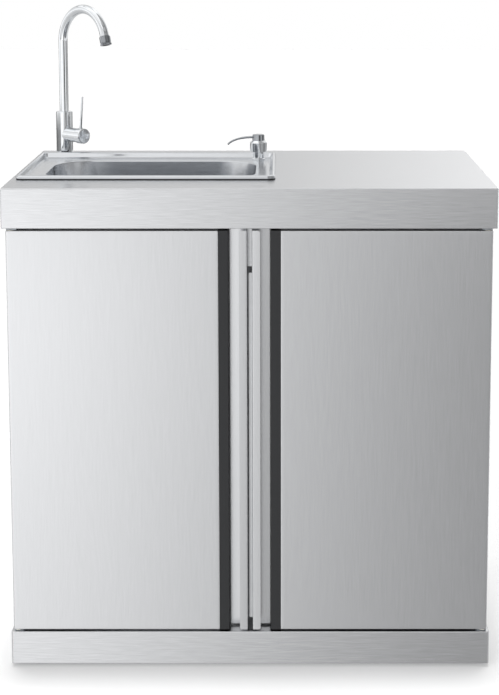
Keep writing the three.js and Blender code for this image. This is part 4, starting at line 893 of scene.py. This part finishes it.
lathed("pump_stem", "turned", NYLON, stem, pump_place, 28, body="pump_stem")
bell = rounded(
    [[12.7, 40.4], [13.4, 40], [17.5, 36], [17.5, 17], [15.2, 17], [15.2, 36], [12, 38], [4.1, 38],
     [4.1, 40.4]],
    [0.3, 1.5, 2.5, 0.6, 0.6, 2, 1, 0.5, 0], 5,
)
piece("pump_bell_turned", CHROME, [moved(turned(bell, 64, True), pump_place)], ["pump_head"],
      body="pump_head")
cap = bent(
    [[0, 53.2], [12.2, 52.8], [12.7, 40.4], [4.1, 40.4], [4.1, 45.2], [0, 45.2]], [0, 1.6, 0, 0, 0, 0], 5
)
# The nozzle reaches out evenly, sinks with the square of its share and drops at its end with the sixth power.
NOZZLE_START, NOZZLE_LENGTH, NOZZLE_END, NOZZLE_LEVEL = 8, 56, 63.5, 47
NOZZLE_SINK, NOZZLE_DROP = 9, 6.5
NOZZLE_RADIUS, NOZZLE_TAPER, NOZZLE_BORE = 2.5, 0.6, 1.3
share = np.linspace(0, 1, 33)
reach = np.maximum(-NOZZLE_START - NOZZLE_LENGTH * share, -NOZZLE_END)
path = np.stack([reach, 0 * share, NOZZLE_LEVEL - NOZZLE_SINK * share**2 - NOZZLE_DROP * share**6], -1)
nozzle = tube(path, NOZZLE_RADIUS - NOZZLE_TAPER * share, (0, 1, 0), 24, NOZZLE_BORE)
cap_and_nozzle = [moved(turned(cap, 64), pump_place), moved(nozzle, pump_place)]
# The cap's and nozzle's darker chrome is a painted dark reflection.
piece("pump_cap_turned", CHROME_PAINTED_DARK, cap_and_nozzle, body="pump_head")


# Floor, light and camera


# Greys that mirrors see of the studio, at azimuths in degrees: 0 is the front and 90 the right. BELOW and
# ABOVE are its two halves, and the lines are narrow bands close under the horizon.
BELOW = (
    (-180, 0.44), (-150, 0.38), (-90, 0.46), (-28, 0.46), (-22, 0.98), (-8, 1.0), (-3, 0.5), (3, 0.24),
    (8, 0.03), (16, 0.03), (21, 0.36), (34, 0.42), (45, 0.44), (70, 0.46), (110, 0.48), (150, 0.54),
    (180, 0.44),
)
ABOVE = (
    (-180, 0.46), (-172, 0.42), (-120, 0.56), (-90, 0.68), (-50, 0.56), (-30, 0.56), (-8, 0.62), (3, 0.52),
    (10, 0.24), (28, 0.2), (50, 0.3), (70, 0.18), (105, 0.18), (130, 0.46), (160, 0.66), (172, 0.72),
    (180, 0.46),
)
LOW_LINES = (
    (-180, 0.16), (-120, 0.08), (-80, 0.14), (-48, 0.14), (-42, 0.64), (-14, 0.6), (0, 0.36), (6, 0.26),
    (24, 0.26), (34, 0.16), (60, 0.3), (70, 0.5), (92, 0.34), (112, 0.28), (140, 0.12), (180, 0.16),
)
HIGH_LINES = (
    (-180, 0.16), (-132, 0.14), (-118, 0.6), (-80, 0.6), (-76, 0.28), (-68, 0.28), (-64, 0.6), (-14, 0.6),
    (0, 0.44), (14, 0.4), (18, 0.02), (40, 0.02), (44, 0.5), (58, 0.6), (66, 0.25), (82, 0.25), (86, 0.05),
    (103, 0.05), (107, 0.6), (112, 0.6), (118, 0.14), (180, 0.16),
)
# Shares by the direction's height, its Z from -1 below to 1 above: how bright the halves are, how far the
# upper one has taken over, how much CALM_GREY evens out the lower one, and where each band of lines is.
LEVEL = (
    (-1, 0.66), (-0.5, 0.7), (-0.36, 0.77), (-0.2, 0.97), (0.0, 0.97), (0.12, 0.88), (0.3, 0.74),
    (0.45, 0.74), (0.5, 0.45), (0.54, 1.0), (0.68, 1.0), (0.72, 0.5), (0.76, 1.0), (1, 1.0),
)
RISING = ((0.0, 0.0), (0.1, 1.0))
CALMER = ((-0.4, 0.32), (-0.25, 0.27), (-0.14, 0.0))
LOW_BAND = ((-0.13, 0.0), (-0.12, 1.0), (-0.095, 1.0), (-0.09, 0.0))
HIGH_BAND = ((-0.095, 0.0), (-0.09, 1.0), (0.04, 1.0), (0.07, 0.0))
CALM_GREY, EVEN_GREY, WHITE = ((grey, grey, grey, 1.0) for grey in (0.46, 0.58, 1.0))
FLOOR_GLOW, FLOOR_HALF = 0.07, 20000.0


def studio():
    """White for the camera, a soft studio for mirrors, and even light for the rest. A mirror's grey is
    looked up by the azimuth, atan2(x, -y), and the height of the direction that it shows."""
    world = bpy.data.worlds.new("studio")
    tree = bare_tree(world)
    place = node(tree, "TexCoord")
    xyz = node(tree, "SeparateXYZ", links={"Vector": place.outputs["Generated"]})
    front = node(tree, "Math", {"operation": "MULTIPLY", 1: -1.0}, {0: xyz.outputs["Y"]})
    azimuth = node(tree, "Math", {"operation": "ARCTAN2"}, {0: xyz.outputs["X"], 1: front})
    round_share, up_share = (
        node(tree, "Math", {"operation": "MULTIPLY_ADD", 1: scale, 2: 0.5}, {0: value})
        for scale, value in ((0.5 / math.pi, azimuth), (0.5, xyz.outputs["Z"]))
    )
    below, above, low_lines, high_lines = (
        node(tree, "ValToRGB", links={"Fac": round_share},
             stops=[(turn / 360 + 0.5, grey) for turn, grey in greys])
        for greys in (BELOW, ABOVE, LOW_LINES, HIGH_LINES)
    )
    level, rising, calmer, low_band, high_band = (
        node(tree, "ValToRGB", links={"Fac": up_share},
             stops=[(0.5 + 0.5 * z, share) for z, share in shares])
        for shares in (LEVEL, RISING, CALMER, LOW_BAND, HIGH_BAND)
    )
    seen = node(tree, "MixRGB", {"Color2": CALM_GREY}, {"Fac": calmer, "Color1": below})
    for share, layer in ((rising, above), (None, level), (low_band, low_lines), (high_band, high_lines)):
        settings = {} if share else {"blend_type": "MULTIPLY", "Fac": 1.0}
        links = {"Color1": seen, "Color2": layer} | ({"Fac": share} if share else {})
        seen = node(tree, "MixRGB", settings, links)
    ray = node(tree, "LightPath")
    mirror = node(
        tree, "Math", {"operation": "MAXIMUM"},
        {0: ray.outputs["Is Glossy Ray"], 1: ray.outputs["Is Transmission Ray"]},
    )
    even = node(tree, "Background", {"Color": EVEN_GREY})
    white = node(tree, "Background", {"Color": WHITE})
    mirrored = node(tree, "Background", {"Strength": 2.0}, {"Color": seen})
    for_mirrors = node(tree, "MixShader", links={0: mirror, 1: even, 2: mirrored})
    for_camera = node(tree, "MixShader", links={0: ray.outputs["Is Camera Ray"], 1: for_mirrors, 2: white})
    node(tree, "OutputWorld", links={"Surface": for_camera})
    scene.world = world


def floor():
    """A pale floor that the camera sees as white with the object's soft shadow: a little of its brightness
    is its own, for the camera alone, and the rest comes from the light that reaches it."""
    made = bpy.data.materials.new("pale_floor")
    tree = bare_tree(made)
    ray = node(tree, "LightPath")
    own = node(tree, "Math", {"operation": "MULTIPLY", 1: FLOOR_GLOW}, {0: ray.outputs["Is Camera Ray"]})
    glow = node(tree, "Emission", {"Color": WHITE}, {"Strength": own})
    matt = node(tree, "BsdfDiffuse", {"Color": linear("#F7F7F7")})
    mixed = node(tree, "AddShader", links={0: matt, 1: glow})
    node(tree, "OutputMaterial", links={"Surface": mixed})
    corners = FLOOR_HALF * np.array([[-1, -1, 0], [1, -1, 0], [1, 1, 0], [-1, 1, 0]])
    plane = solid("floor", [(corners, [np.array([[0, 1, 2, 3]])])])
    plane.data.materials.append(made)
    plane.visible_glossy = False


def lamp(name, kind, place, aim, size, power):
    """A soft lamp of that kind at place, facing aim, that the camera and mirrors don't see. Its size is the
    side of a square AREA or the angle of a SUN. Its -Z tips up from straight down, and then turns round."""
    light = bpy.data.lights.new(name, kind)
    light.energy = power
    if kind == "SUN":
        light.angle = size
    else:
        light.size = size * MM
    made = bpy.data.objects.new(name, light)
    scene.collection.objects.link(made)
    x, y, z = np.subtract(aim, place) * MM
    made.location = np.array(place) * MM
    made.rotation_euler = (math.atan2(math.hypot(x, y), -z), 0.0, math.atan2(y, x) - math.pi / 2)
    made.visible_camera = made.visible_glossy = False


studio()
floor()
lamp("front_lamp", "AREA", place=(-1500, -3200, 1000), aim=(0, 0, 450), size=2000, power=50.0)
lamp("high_lamp", "SUN", place=(0, 210, 3000), aim=(0, 0, 0), size=math.radians(8), power=1.42)

# The camera stands in front, a little to the right and above the worktop, and looks 8.367 degrees down.
camera = bpy.data.cameras.new("camera")
camera.lens, camera.sensor_width, camera.sensor_fit = 93.16, 36.0, "AUTO"
camera.shift_x, camera.shift_y = -0.0436, -0.2
camera.clip_start, camera.clip_end = 0.1, 100.0
view = bpy.data.objects.new("camera", camera)
scene.collection.objects.link(view)
view.location = np.array([56.0, -3568.0, 1362.6]) * MM
view.rotation_euler = (math.radians(90 - 8.367), 0.0, 0.0)
scene.camera = view
